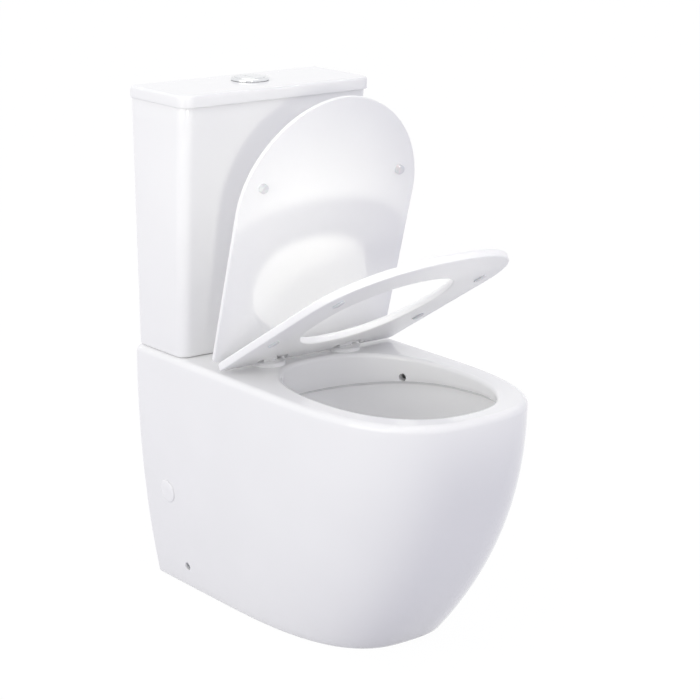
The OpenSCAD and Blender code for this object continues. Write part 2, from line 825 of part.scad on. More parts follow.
module full_flush_lever() {
    color(blue_plastic) lever(rod_x);
}

// The overflow tube is also the valve's plunger. A strap behind the levers carries one lip over each:
// the full flush lever's lip is close above it, the half flush lever's lip is higher and is lifted less.
tube_t = 2;
tube_low = seat_z + washer_t + seat_clear;
collar_h = 4;
strap_t = 3;
strap_y = lever_rear + 1.5;
lip_y = 13;
strap_half = rod_x + lever_w / 2 + 0.5;
full_lip = 0.5;
half_lip = 8;
strap_top = lever_z + lever_t / 2 + half_lip + strap_t;
module strap_lip(x, up) {
    translate([x - lever_w / 2, lip_y, lever_z + lever_t / 2 + up])
        cube([lever_w, strap_y + join - lip_y, strap_t]);
}

module overflow_tube() {
    color(blue_plastic) translate([0, -valve_y, 0]) {
        flat_ring(overflow_r - tube_t, overflow_r, tube_low, overflow_top - tube_low);
        flat_ring(overflow_r - tube_t / 2, tower_r - tower_t - 3, tube_low, collar_h);
        flat_ring(overflow_r - tube_t / 2, overflow_r + 3, overflow_top - collar_h, collar_h);
        difference() {
            translate([-strap_half, 0, overflow_top - collar_h])
                cube([2 * strap_half, strap_y + strap_t, collar_h]);
            translate([0, 0, overflow_top - past]) cylinder(r = overflow_r, h = 2 * past);
        }
        translate([-strap_half, strap_y, overflow_top - collar_h])
            cube([2 * strap_half, strap_t, strap_top - overflow_top + collar_h]);
        strap_lip(rod_x, full_lip);
        strap_lip(-rod_x, half_lip);
    }
}

module flush_seal() {
    color(rubber) translate([0, -valve_y, 0])
        flat_ring(overflow_r - 1, valve_bore + 4, seat_z + seat_clear / 2, washer_t);
}

// ---------- fill valve ----------

fill_nut_r = 16;
riser_r = 9;
inlet_free = 30;
riser_h = 262;
riser_top = tank_inside + riser_h;
fill_head_r = 17;
ear_t = 3;
arm_rise = 10;
module fill_valve_body() {
    color(plastic) translate([-fill_x, -valve_y, 0]) difference() {
        union() {
            translate([0, 0, pan_h - inlet_len])
                cylinder(d = inlet_d, h = inlet_len + tank_floor + washer_t + join);
            translate([0, 0, tank_inside + washer_t + seat_clear]) cylinder(r = fill_nut_r, h = 5);
            translate([0, 0, tank_inside]) cylinder(r = riser_r, h = riser_top - tank_inside);
            translate([0, 0, riser_top - 6]) cylinder(r = fill_head_r, h = 10);
            for (s = [-1, 1]) translate([arm_pivot[0] - 7, s * (arm_w / 2 + 2), riser_top]) difference() {
                translate([0, -ear_t / 2, 0]) cube([11, ear_t, 16]);
                translate([7, -past, arm_rise]) rotate([-90, 0, 0])
                    cylinder(r = arm_pin_r + run, h = 2 * past);
            }
        }
        translate([0, 0, pan_h - inlet_len - past]) cylinder(r = 5.5, h = riser_top - pan_h + inlet_len);
        flat_ring(inlet_d / 2 - 0.8, inlet_d, pan_h - inlet_len + inlet_free, 1.5);
    }
}

module fill_valve_cap() {
    color(blue_plastic) translate([-fill_x, -valve_y, riser_top + 4 + seat_clear])
        cylinder(r = fill_head_r - 6, h = 14);
}

module fill_valve_washer() {
    color(rubber) translate([-fill_x, -valve_y, 0])
        flat_ring(inlet_d / 2 + run, fill_nut_r, tank_inside, washer_t);
}

module fill_valve_nut() {
    color(plastic) translate([-fill_x, -valve_y, pan_h - 9 - seat_clear]) difference() {
        cylinder(r = fill_nut_r, h = 9, $fn = 6);
        translate([0, 0, -past]) cylinder(r = inlet_d / 2 + run, h = 9 + 2 * past);
    }
}

float_h = 52;
float_z = riser_top - 90 - float_drop;
link_r = 1.5;
arm_l = 36;
arm_end = 5;
arm_tail = 6.5;
arm_boss_r = 4;
arm_boss_h = 6.5;
arm_t = 3;
arm_w = 6;
arm_pin_r = 1.5;
arm_pivot = [fill_head_r + 2, riser_top + arm_rise];
arm_droop = 35;
link_x = arm_pivot[0] + arm_l;
link_gap = (arm_l + link_r) * tan(arm_droop) + arm_t / 2 / cos(arm_droop) + seat_clear;
module float_cup() {
    bracket_z = float_z + float_h - 3;
    color(blue_plastic) translate([-fill_x, -valve_y, 0]) {
        difference() {
            translate([0, 0, float_z]) cylinder(d = float_d, h = float_h);
            translate([0, 0, float_z - past]) cylinder(r = riser_r + loose, h = float_h + 2 * past);
            translate([0, 0, float_z - past]) difference() {
                cylinder(r = float_d / 2 - 2, h = float_h + past - 3);
                cylinder(r = riser_r + loose + 2, h = float_h + past);
            }
        }
        translate([float_d / 2 - 2, -arm_w / 2, bracket_z]) cube([link_x - float_d / 2 + 4, arm_w, 3]);
        translate([link_x, 0, bracket_z]) cylinder(r = link_r, h = arm_pivot[1] - link_gap - bracket_z);
    }
}

module float_arm() {
    color(plastic) translate([-fill_x + arm_pivot[0], -valve_y, arm_pivot[1]]) rotate([0, arm_droop, 0])
        difference() {
            union() {
                translate([-arm_tail, -arm_w / 2, -arm_t / 2])
                    cube([arm_tail + arm_l + arm_end, arm_w, arm_t]);
                translate([arm_l, 0, 0]) cylinder(r = arm_boss_r, h = arm_boss_h);
                translate([0, arm_w / 2, 0]) rotate([90, 0, 0]) cylinder(r = 3.2, h = arm_w);
            }
            translate([0, arm_w, 0]) rotate([90, 0, 0]) cylinder(r = arm_pin_r + run, h = 2 * arm_w);
        }
}

module float_pin() {
    half = arm_w / 2 + 4.5;
    color(steel) translate([-fill_x + arm_pivot[0], -valve_y - half, arm_pivot[1]]) rotate([-90, 0, 0])
        cylinder(r = arm_pin_r, h = 2 * half);
}

// ---------- bolts that hold the cistern to the pan ----------

seal_t = 6;
couple_low = cavity_top - 30;
module at_couplings() {
    for (s = [-1, 1]) translate([s * couple_x / 2, -valve_y, 0]) children();
}

module hex_bolt(r, head_r, head_t, low, high) {
    translate([0, 0, low]) cylinder(r = r, h = high - low + join / 2);
    translate([0, 0, high]) cylinder(r = head_r, h = head_t, $fn = 6);
}

module coupling_bolts() {
    color(steel) at_couplings()
        hex_bolt(couple_d / 2, couple_d * 0.85, 5, couple_low, tank_inside + seal_t + seat_clear);
}

module coupling_seals() {
    color(rubber) at_couplings() flat_ring(couple_d / 2 + run, couple_d + 3, tank_inside, seal_t);
}

module coupling_washers() {
    color(steel) at_couplings()
        flat_ring(couple_d / 2 + 0.3, couple_d + 2, cavity_top - 2 - seat_clear, 2);
}

// A nut with two flat wings
module wing_nut(r, top) {
    translate([0, 0, top - 9]) difference() {
        union() {
            cylinder(r = r * 2, h = 9);
            translate([-r * 3, -1.5, 0]) cube([r * 6, 3, 9]);
        }
        translate([0, 0, -past]) cylinder(r = r + run, h = 9 + 2 * past);
    }
}

module coupling_wing_nuts() {
    color(plastic) at_couplings() wing_nut(couple_d / 2, cavity_top - 2 - 2 * seat_clear);
}

// ---------- seat and cover ----------

hinge_z = pan_h + hinge_rise;
ring_low = deck_gap - hinge_rise;
ring_high = ring_low + seat_t;
cover_low = ring_high + seat_gap;
cover_high = cover_low + cover_t;
side_gap = 0.4;
block_w = 26;
lug_w = 16.5;
lug_end = block_w / 2 + side_gap + lug_w;
bore_end = lug_end - 1.5;
notch_y = 17;
neck_y = 9;
plate_gap = 1.3;

// Puts a piece drawn flat, with the hinge axis through the origin, at its angle on the hinge
module on_hinge(angle) {
    translate([0, -hinge_y, hinge_z]) rotate([-angle, 0, 0]) children();
}

// Puts a piece at both hinges, mirrored, with x = 0 at the hinge's centre and +x outwards
module at_hinges() {
    both_sides() translate([hinge_x / 2, 0, 0]) children();
}

module bar_x(from, to, r) {
    translate([from, 0, 0]) rotate([0, 90, 0]) cylinder(r = r, h = to - from);
}

function plate_loop(inset, side, n, z) = at_height(
    d_outline(seat_w - 2 * inset, seat_l - inset, side, n, seat_back - inset), z);
function seat_loop(inset, z) = plate_loop(inset, seat_side_l, seat_n, z);
function cover_loop(inset, z) = plate_loop(inset, cover_side_l, cover_n, z);

// The ring's opening, drawn point for point against the outline: same count, same start
function hole_loop(grow, z) = let (n = len(seat_loop(0, 0)), c = (hole_from + hole_to) / 2,
    b = (hole_to - hole_from) / 2 + grow, a = hole_w / 2 + grow)
    [for (p = seat_loop(0, 0)) let (t = atan2(p[1] + c, p[0]), e = 2 / 2.25)
        [a * power(cos(t), e), -c + b * power(sin(t), e), z]];

module seat_ring() {
    color(resin) on_hinge(seat_angle) difference() {
        union() {
            ring_loft([
                seat_loop(2.5, ring_low), seat_loop(0.6, ring_low + 1.8), seat_loop(0, ring_low + 5),
                seat_loop(0.8, ring_high - 3.5), seat_loop(4, ring_high - 0.8), seat_loop(9, ring_high),
                hole_loop(10, ring_high - 0.4), hole_loop(3, ring_high - 2.5),
                hole_loop(0, ring_high - 6.5), hole_loop(1, ring_low + 2), hole_loop(3, ring_low)]);
            at_hinges() {
                bar_x(-lug_end, -block_w / 2 - side_gap, barrel_r);
                translate([-lug_end, -notch_y - 6, ring_low])
                    cube([lug_w, notch_y + 6, ring_high - ring_low - 1]);
            }
        }
        at_hinges() {
            translate([-block_w / 2 - side_gap, -notch_y, ring_low - past])
                cube([block_w / 2 + lug_end + 3 * side_gap, notch_y + seat_back + past, seat_t + 2 * past]);
            translate([0, 0, ring_low - past])
                cylinder(d = plate_d + 6, h = plate_h - hinge_rise + plate_gap - ring_low + past);
            bar_x(-bore_end, 0, pin_r + sleeve_t + run);
        }
    }
}

bumper_l = 26;
bumper_w = 10;
bumper_x = [142, 136];
bumper_u = [118, 297];
module seat_bumpers() {
    h = deck_gap - seat_clear;
    color(soft_white) on_hinge(seat_angle) both_sides() for (k = [0, 1])
        translate([bumper_x[k], -bumper_u[k], ring_low - h]) {
            translate([-bumper_w / 2, -(bumper_l - bumper_w) / 2, 0])
                cube([bumper_w, bumper_l - bumper_w, h]);
            for (t = [-1, 1]) translate([0, t * (bumper_l - bumper_w) / 2, 0]) cylinder(d = bumper_w, h = h);
        }
}

module seat_cover() {
    color(resin) on_hinge(cover_angle) difference() {
        union() {
            loft([
                cover_loop(1.5, cover_low), cover_loop(0.3, cover_low + 1.2), cover_loop(0, cover_low + 3.5),
                cover_loop(0.8, cover_high - 2.5), cover_loop(3.2, cover_high - 0.6),
                cover_loop(8, cover_high)]);
            at_hinges() {
                bar_x(block_w / 2 + side_gap, lug_end, barrel_r);
                translate([block_w / 2 + side_gap, -neck_y, 0])
                    cube([lug_w, neck_y + seat_back - 1, cover_low + 1]);
            }
        }
        at_hinges() bar_x(0, bore_end, pin_r + sleeve_t + run);
    }
}

cover_bumper_x = 132;
cover_bumper_u = 292;
cover_bumper_d = 15;
module cover_bumpers() {
    color(soft_white) on_hinge(cover_angle) for (s = [-1, 1])
        translate([s * cover_bumper_x, -cover_bumper_u, cover_low - seat_gap + seat_clear]) {
            cylinder(d = cover_bumper_d - 3, h = 2.5);
            translate([0, 0, 2]) cylinder(d = cover_bumper_d, h = seat_gap - seat_clear - 2);
        }
}

// ---------- hinges ----------

plate_edge = 4;
module hinge_plates() {
    color(resin) translate([0, -hinge_y, pan_h]) at_hinges() difference() {
        rotate_extrude() polygon(concat([[0, 0], [plate_d / 2, 0]],
            [for (a = [0 : 18 : 90])
                [plate_d / 2 - plate_edge + plate_edge * cos(a), plate_h * sin(a)]],
            [[0, plate_h]]));
        translate([0, 0, -past]) cylinder(r = post_foot_r + run, h = plate_h + 2 * past);
    }
}

post_foot_r = 12;
module hinge_posts() {
    color(resin) translate([0, -hinge_y, hinge_z]) at_hinges() difference() {
        union() {
            translate([0, 0, -hinge_rise]) cylinder(r = post_foot_r, h = plate_h + join);
            bar_x(-block_w / 2, block_w / 2, barrel_r);
            translate([-block_w / 2, -barrel_r, plate_h - hinge_rise])
                cube([block_w, 2 * barrel_r, hinge_rise - plate_h]);
        }
        bar_x(-block_w, block_w, pin_r + run);
        translate([0, 0, -hinge_rise - past]) cylinder(r = bolt_r + run, h = past + plate_h - 1);
    }
}

module hinge_pins() {
    color(steel) translate([0, -hinge_y, hinge_z]) at_hinges() bar_x(0.2 - bore_end, bore_end - 0.2, pin_r);
}

module damper_sleeve(from, to) {
    translate([0, -hinge_y, hinge_z]) at_hinges() difference() {
        bar_x(from, to, pin_r + sleeve_t);
        bar_x(from - past, to + past, pin_r + run);
    }
}

module seat_dampers() {
    color(plastic) damper_sleeve(0.2 - bore_end, -block_w / 2 - side_gap);
}

module cover_dampers() {
    color(plastic) damper_sleeve(block_w / 2 + side_gap, bore_end - 0.2);
}

hinge_bolt_drop = 34;
hinge_bolt_low = cavity_top - hinge_bolt_drop;
module at_hinge_bolts() {
    for (s = [-1, 1]) translate([s * hinge_x / 2, -hinge_y, 0]) children();
}

module hinge_bolts() {
    color(steel) at_hinge_bolts() translate([0, 0, hinge_bolt_low])
        cylinder(r = bolt_r, h = pan_h + plate_h - 1 - seat_clear - hinge_bolt_low);
}

cone_h = 12;
module hinge_cone_washers() {
    color(rubber) at_hinge_bolts() translate([0, 0, cavity_top - cone_h]) rotate_extrude()
        polygon([[bolt_r + run, 0], [bolt_r + 7, 0], [bolt_r + 7, cone_h - seat_clear],
            [bolt_r + 2.7, cone_h - seat_clear], [bolt_r + 1.8, cone_h + 6], [bolt_r + run, cone_h + 6]]);
}

module hinge_wing_nuts() {
    color(plastic) at_hinge_bolts() wing_nut(bolt_r, cavity_top - cone_h - seat_clear);
}

pan_deck();
pan_skirt();
pan_bowl();
pan_trap();
pan_flush_way();
side_caps();
floor_brackets();
side_screws();
cistern_tank();
cistern_lid();
button_ring();
button_nut();
half_flush_button();
full_flush_button();
half_flush_rod();
full_flush_rod();
flush_valve_base();
flush_valve_washer();
flush_valve_nut();
coupling_gasket();
flush_valve_tower();
overflow_tube();
flush_seal();
half_flush_lever();
full_flush_lever();
lever_pin();
fill_valve_body();
fill_valve_cap();
fill_valve_washer();
fill_valve_nut();
float_cup();
float_arm();
float_pin();
coupling_bolts();
coupling_seals();
coupling_washers();
coupling_wing_nuts();
seat_ring();
seat_bumpers();
seat_cover();
cover_bumpers();
hinge_plates();
hinge_posts();
hinge_pins();
seat_dampers();
cover_dampers();
hinge_bolts();
hinge_cone_washers();
hinge_wing_nuts();
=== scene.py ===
# A back to wall toilet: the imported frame, dressed with glazed china, a moulded seat and cover on
# their hinges, and plated flush buttons, on a pale studio floor. Metres, +Z up; the wall is the
# plane y = 0, the front points towards -Y, and the origin lies on the floor.
import json
from collections import namedtuple
from math import cos, radians, sin, tan

import bpy
import numpy as np
from bpy.props import FloatProperty, FloatVectorProperty, IntProperty, PointerProperty
from mathutils import Matrix, Vector


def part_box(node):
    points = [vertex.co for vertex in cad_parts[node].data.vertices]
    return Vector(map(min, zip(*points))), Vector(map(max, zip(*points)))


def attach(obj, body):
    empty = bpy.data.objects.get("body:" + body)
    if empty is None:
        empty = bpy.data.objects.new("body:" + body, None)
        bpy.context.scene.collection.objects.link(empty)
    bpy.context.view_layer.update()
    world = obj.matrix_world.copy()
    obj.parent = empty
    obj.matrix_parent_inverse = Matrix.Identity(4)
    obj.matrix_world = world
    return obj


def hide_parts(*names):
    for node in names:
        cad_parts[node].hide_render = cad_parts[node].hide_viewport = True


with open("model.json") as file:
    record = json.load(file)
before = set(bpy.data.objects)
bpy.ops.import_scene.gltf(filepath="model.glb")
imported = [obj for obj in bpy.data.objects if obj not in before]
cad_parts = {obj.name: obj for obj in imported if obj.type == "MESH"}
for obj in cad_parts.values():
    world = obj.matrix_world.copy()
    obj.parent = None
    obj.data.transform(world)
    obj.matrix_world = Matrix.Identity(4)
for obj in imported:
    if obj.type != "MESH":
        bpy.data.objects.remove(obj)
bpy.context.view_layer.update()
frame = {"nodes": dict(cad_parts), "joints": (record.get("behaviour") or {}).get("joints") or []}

bl_info = {
    "name": "Back to wall toilet",
    "version": (1, 0, 0),
    "blender": (4, 5, 0),
    "location": "3D View > Sidebar > Toilet",
    "description": "Glazed china, moulded seat and plated buttons round the packed frame",
    "category": "Object",
}

PAN_NODES = ("pan_deck", "pan_skirt", "pan_bowl", "pan_trap", "pan_flush_way")
PAN_LOW, PAN_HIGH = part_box("pan_deck")
TANK_LOW, TANK_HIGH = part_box("cistern_tank")
LID_LOW, LID_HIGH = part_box("cistern_lid")
RING_LOW, RING_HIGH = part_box("button_ring")
JOINTS = {joint["name"]: joint for joint in frame["joints"]}
HINGE = Vector(JOINTS["cover_hinge"]["pos_m"])


# ---------- sizes and colours that a user would change ----------

def length(name, text, value):
    """A size in metres."""
    return FloatProperty(name=name, description=text, default=value, unit="LENGTH", precision=4)


def plain(name, text, value):
    """A number without a unit: a squareness, a power or a strength."""
    return FloatProperty(name=name, description=text, default=value)


def angle(name, text, value):
    """An angle, given in degrees and kept in radians."""
    return FloatProperty(name=name, description=text, default=radians(value), unit="ROTATION")


def colour(name, text, value):
    """A colour as linear red, green and blue."""
    return FloatVectorProperty(name=name, description=text, default=value, subtype="COLOR",
                               size=3, min=0, max=1)


class PanSizes(bpy.types.PropertyGroup):
    """Outline of the pan, which swells from a narrow foot to the deck"""
    width: length("Width", "Width of the pan at its deck", PAN_HIGH.x - PAN_LOW.x)
    reach: length("Reach", "Reach of the pan from the wall", -PAN_LOW.y)
    height: length("Height", "Height of the deck above the floor", PAN_HIGH.z)
    foot_width: length("Foot width", "Width of the foot on the floor", 0.284)
    foot_reach: length("Foot reach", "Reach of the foot from the wall", 0.485)
    side: length("Straight side", "Straight part of each side at the deck", 0.351)
    foot_side: length("Straight foot", "Straight part of each side at the floor", 0.175)
    squareness: plain("Squareness", "Squareness of the front curve, 2 is an ellipse", 2.88)
    side_swell: plain("Side swell", "How fast the sides swell out above the foot", 2.2)
    front_swell: plain("Front swell", "How fast the front swells out above the foot", 2.16)
    shoulder: length("Shoulder", "Radius of the soft shoulder round the deck", 0.011)
    foot_round: length("Foot round", "Radius of the foot's edge on the floor", 0.008)
    wall: length("Wall", "Thickness of the glazed wall", 0.012)
    deck: length("Deck", "Thickness of the deck", 0.016)


class BowlSizes(bpy.types.PropertyGroup):
    """The bowl's opening, its flush lip and its sump"""
    width: length("Width", "Width of the bowl's opening", 0.272)
    rear: length("Rear", "Distance from the wall to the opening's rear edge", 0.241)
    rim: length("Rim", "Width of the rim in front of the opening", 0.037)
    squareness: plain("Squareness", "Squareness of the opening", 2.28)
    edge: length("Edge", "Radius of the edge round the opening", 0.007)
    lip_front: length("Front lip", "Height of the flush lip at the front and sides", 0.016)
    lip_back: length("Back lip", "Height of the flush lip at the back", 0.054)
    undercut: length("Undercut", "How far the bowl steps out behind the lip", 0.007)
    sump_width: length("Sump width", "Width of the sump", 0.092)
    sump_length: length("Sump length", "Length of the sump", 0.096)
    sump_y: length("Sump place", "Distance from the wall to the sump's middle", 0.345)
    sump_z: length("Sump floor", "Height of the sump's floor", 0.062)
    outlet: length("Flush outlet", "Diameter of the flush outlet in the bowl", 0.013)


class WasteSizes(bpy.types.PropertyGroup):
    """The trap behind the bowl and the spigot that it ends in"""
    spigot: length("Spigot", "Outside diameter of the spigot", 0.102)
    wall: length("Wall", "Thickness of the spigot and the trap", 0.009)
    height: length("Height", "Height of the spigot's centre", 0.185)
    back: length("Back gap", "Gap between the spigot's end and the wall", 0.025)
    passage: length("Passage", "Radius of the trap's narrowest part", 0.028)
    top: length("Top bend", "Height of the centre of the trap's top bend", 0.204)
    low_bend: length("Low bend", "Radius of the trap's lower bend", 0.045)
    top_bend: length("Upper bend", "Radius of the trap's top bend", 0.048)
    rise: angle("Rise", "Slope of the trap's rising leg", 75)
    fall: angle("Fall", "Slope of the trap's falling leg", 14)


class SkirtSizes(bpy.types.PropertyGroup):
    """Cover caps and fixing holes in the skirt's sides"""
    cap: length("Cap", "Diameter of the round cover caps", 0.038)
    cap_hole: length("Cap hole", "Diameter of the hole behind each cap", 0.030)
    cap_y: length("Cap place", "Distance from the wall to a cap's centre", 0.067)
    cap_z: length("Cap height", "Height of a cap's centre", 0.169)
    fixing: length("Fixing hole", "Diameter of the side fixing holes", 0.0135)
    fixing_y: length("Fixing place", "Distance from the wall to the side fixing holes", 0.095)
    fixing_z: length("Fixing height", "Height of the side fixing holes", 0.042)


class CisternSizes(bpy.types.PropertyGroup):
    """The tank, its lid and the holes for valves and bolts"""
    width: length("Width", "Width of the tank at its top", TANK_HIGH.x - TANK_LOW.x)
    low_width: length("Low width", "Width of the tank at its bottom", 0.348)
    depth: length("Depth", "Depth of the tank at its top", -TANK_LOW.y)
    low_depth: length("Low depth", "Depth of the tank at its bottom", 0.122)
    corner: length("Corner", "Radius of the tank's front corners", 0.020)
    rear_corner: length("Rear corner", "Radius of the corners at the wall", 0.005)
    wall: length("Wall", "Thickness of the tank's walls", 0.009)
    floor: length("Floor", "Thickness of the tank's floor", 0.014)
    lid_width: length("Lid width", "Width of the lid", LID_HIGH.x - LID_LOW.x)
    lid_depth: length("Lid depth", "Depth of the lid", -LID_LOW.y)
    lid_thickness: length("Lid thickness", "Thickness of the lid's top", 0.010)
    valve_y: length("Valve place", "Distance from the wall to the valves", 0.070)
    valve_hole: length("Valve hole", "Diameter of the flush valve's hole", 0.062)
    fill_x: length("Fill valve", "Sideways distance to the fill valve", 0.136)
    fill_hole: length("Fill hole", "Diameter of the fill valve's hole", 0.023)
    bolt_x: length("Bolts", "Sideways distance to a cistern bolt", 0.105)
    bolt_hole: length("Bolt hole", "Diameter of a cistern bolt's hole", 0.012)


class ButtonSizes(bpy.types.PropertyGroup):
    """The flush buttons in their ring"""
    ring: length("Ring", "Outside diameter of the button ring", RING_HIGH.x - RING_LOW.x)
    across: length("Buttons", "Diameter across the two buttons", 0.048)


class SeatSizes(bpy.types.PropertyGroup):
    """The seat ring and the cover, drawn closed round the hinge axis"""
    width: length("Width", "Width of the seat and the cover", 0.342)
    reach: length("Reach", "Reach in front of the hinge axis", 0.427)
    back: length("Back", "Reach behind the hinge axis", 0.004)
    ring_side: length("Ring side", "Straight side of the seat ring", 0.262)
    ring_squareness: plain("Ring squareness", "Squareness of the seat ring's front", 2.33)
    cover_side: length("Cover side", "Straight side of the cover", 0.250)
    cover_squareness: plain("Cover squareness", "Squareness of the cover's front", 1.93)
    ring_low: length("Ring underside", "Underside of the ring above the hinge axis", -0.011)
    ring_thickness: length("Ring thickness", "Thickness of the seat ring", 0.014)
    cover_low: length("Cover underside", "Underside of the cover above the hinge axis", 0.0115)
    cover_thickness: length("Cover thickness", "Thickness of the cover", 0.0095)
    hole_width: length("Hole width", "Width of the seat's opening", 0.214)
    hole_from: length("Hole start", "Start of the opening in front of the hinge axis", 0.062)
    hole_to: length("Hole end", "End of the opening in front of the hinge axis", 0.340)
    ring_angle: angle("Seat angle", "Angle of the seat above closed", 31)
    cover_angle: angle("Cover angle", "Angle of the cover above closed", 74.5)


class HingeSizes(bpy.types.PropertyGroup):
    """The two hinges and what they leave free round them"""
    spacing: length("Spacing", "Distance between the two hinges", 0.150)
    plate: length("Plate", "Diameter of a hinge plate", 0.056)
    plate_height: length("Plate height", "Height of a hinge plate", 0.006)
    barrel: length("Barrel", "Radius of the hinge barrels", 0.0075)
    post: length("Post", "Width of the post between the barrels", 0.026)
    lug: length("Lug", "Width of a barrel on the seat or cover", 0.0165)
    gap: length("Gap", "Gap between post and barrel", 0.0004)
    bore: length("Bore", "Radius of the bore for pin and damper", 0.00485)
    pin: length("Pin", "Radius of the hinge pin", 0.00305)
    foot: length("Foot", "Radius of the post's foot in the plate", 0.012)


class LookSettings(bpy.types.PropertyGroup):
    """Colours of the finishes and of the studio"""
    china: colour("China", "Colour of the glazed china", (0.900, 0.900, 0.903))
    biscuit: colour("Biscuit", "Colour of the unglazed china", (0.78, 0.755, 0.70))
    resin: colour("Resin", "Colour of the seat and cover", (0.925, 0.925, 0.928))
    soft_white: colour("Soft white", "Colour of the bumpers", (0.74, 0.75, 0.77))
    plate: colour("Plating", "Colour of the bright plated buttons", (0.83, 0.84, 0.86))
    white_plastic: colour("White plastic", "Colour of the valve bodies", (0.80, 0.81, 0.82))
    blue_plastic: colour("Blue plastic", "Colour of the moving valve parts", (0.11, 0.26, 0.52))
    rubber: colour("Rubber", "Colour of the seals", (0.022, 0.022, 0.024))
    zinc: colour("Zinc", "Colour of the zinc plated steel", (0.52, 0.53, 0.55))
    floor: colour("Floor", "Colour of the studio floor", (0.57, 0.565, 0.62))
    world: colour("World", "Colour of the even light all round", (0.935, 0.93, 1.0))
    lamps: colour("Lamps", "Colour of the lamps", (1.0, 1.0, 0.87))


class StageSettings(bpy.types.PropertyGroup):
    """Camera and lamps"""
    lens: FloatProperty(name="Lens", description="Focal length of the camera", default=112.868,
                        unit="CAMERA")
    azimuth: angle("Azimuth", "Camera's direction round the object", -37.992)
    elevation: angle("Elevation", "Camera's height angle", 15.378)
    roll: angle("Roll", "Camera's tilt", 0.285)
    distance: length("Distance", "Distance from the camera to its target", 3.785734)
    target: FloatVectorProperty(name="Target", description="Point that the camera looks at",
                                default=(0.218839, -0.053613, 0.341305), subtype="TRANSLATION")
    world: plain("World", "Strength of the even light from all round", 0.88)
    left: plain("Left", "Power of the large soft lamp on the left", 27.0)
    top: plain("Top", "Power of the soft lamp overhead", 10.0)
    corner: plain("Corner", "Power of the soft lamp high in the left corner", 7.0)
    upper: plain("Upper", "Power of the narrow lamp that lights cistern and cover", 0.083)
    under: plain("Under", "Power of the narrow low lamp that lights the seat from below", 0.068)
    turns: IntProperty(name="Turns", description="Points round a lathed surface", default=128)


GROUPS = {
    "toilet_pan": PanSizes, "toilet_bowl": BowlSizes, "toilet_waste": WasteSizes,
    "toilet_skirt": SkirtSizes, "toilet_cistern": CisternSizes, "toilet_button": ButtonSizes,
    "toilet_seat": SeatSizes, "toilet_hinge": HingeSizes, "toilet_look": LookSettings,
    "toilet_stage": StageSettings,
}


def settings(name):
    """The property group that holds the sizes or looks of a name."""
    return getattr(bpy.context.scene, "toilet_" + name)


# ---------- lines and loops ----------

# steps along the rear edge, its corner, the straight side and the front curve of a left half
STEPS = (20, 8, 36, 72)
# where those four stretches start and end on an oval, as shares of the length of its left half
OVAL_STOPS = np.array([0, 0.14, 0.20, 0.40, 1.0])
# points of a quarter of a curve before they are spaced evenly
FINE = 600
# length of the corner's stretch on an outline without rounded corners
SHORT = 0.004
LEAST_CORNER = 0.001


def arc(centre, radius, start, end, count):
    """Points on an arc as (across, up) pairs: centre plus radius times cosine and sine of even
    angles."""
    turn = np.radians(np.linspace(start, end, count))
    return np.stack([centre[0] + radius * np.cos(turn), centre[1] + radius * np.sin(turn)], 1)


def low_edge(radius, z, count):
    """(inset, height) pairs round a lower edge: from drawn in by the radius at z up to no inset."""
    return arc((radius, z + radius), radius, 270, 180, count)


def high_edge(radius, z, count):
    """(inset, height) pairs round an upper edge: from no inset to drawn in by the radius at z."""
    return arc((radius, z - radius), radius, 180, 90, count)


def stationed(line, stations):
    """The points of a line at given shares of its running length, by linear interpolation."""
    run = np.concatenate([[0], np.cumsum(np.linalg.norm(np.diff(line, axis=0), axis=1))])
    return np.stack([np.interp(stations * run[-1], run, axis) for axis in line.T], 1)


def shares(counts, stops):
    """Stations with counts[k] even steps between stops[k] and stops[k + 1], and the last stop."""
    parts = [np.linspace(a, b, n, endpoint=False) for n, a, b in zip(counts, stops, stops[1:])]
    return np.concatenate(parts + [stops[-1:]])


def both_halves(left):
    """A loop from its left half, rear middle to front middle, and the mirror image backwards."""
    return np.concatenate([left, left[-2:0:-1] * (-1, 1)])


def d_loop(width, reach, side, squareness, back=0.0, corner=0.0):
    """A D from above: straight rear, rounded corner, straight side, then a superellipse,
    x = w/2 * cos(t)^(2/n) and y = -side - (reach - side) * sin(t)^(2/n), spaced evenly."""
    half, power = width / 2, 2 / squareness
    turn = np.linspace(0, np.pi / 2, FINE)
    front = np.stack([-half * np.cos(turn) ** power,
                      -side - (reach - side) * np.sin(turn) ** power], 1)
    even = np.linspace(0, 1, STEPS[3] + 1)
    rear = np.linspace((0, back), (corner - half, back), STEPS[0], endpoint=False)
    if corner:
        bend = arc((corner - half, back - corner), corner, 90, 180, STEPS[1] + 1)[:-1]
    else:
        bend = np.linspace((-half, back), (-half, back - SHORT), STEPS[1], endpoint=False)
    start = (-half, back - (corner or SHORT))
    straight = np.linspace(start, (-half, -side), STEPS[2], endpoint=False)
    return both_halves(np.concatenate([rear, bend, straight, stationed(front, even)]))


def oval_loop(width, rear, front, squareness):
    """A superellipse, x = w/2 * |sin t|^(2/n) and y from rear to front with |cos t|^(2/n), whose
    points answer to those of d_loop: the same number for each of its stretches."""
    half, middle, power = width / 2, (rear + front) / 2, 2 / squareness
    turn = np.linspace(0, np.pi, 2 * FINE)
    along = np.sign(np.cos(turn)) * np.abs(np.cos(turn)) ** power
    across = -half * np.abs(np.sin(turn)) ** power
    line = np.stack([across, -middle + (front - rear) / 2 * along], 1)
    return both_halves(stationed(line, shares(STEPS, OVAL_STOPS)))


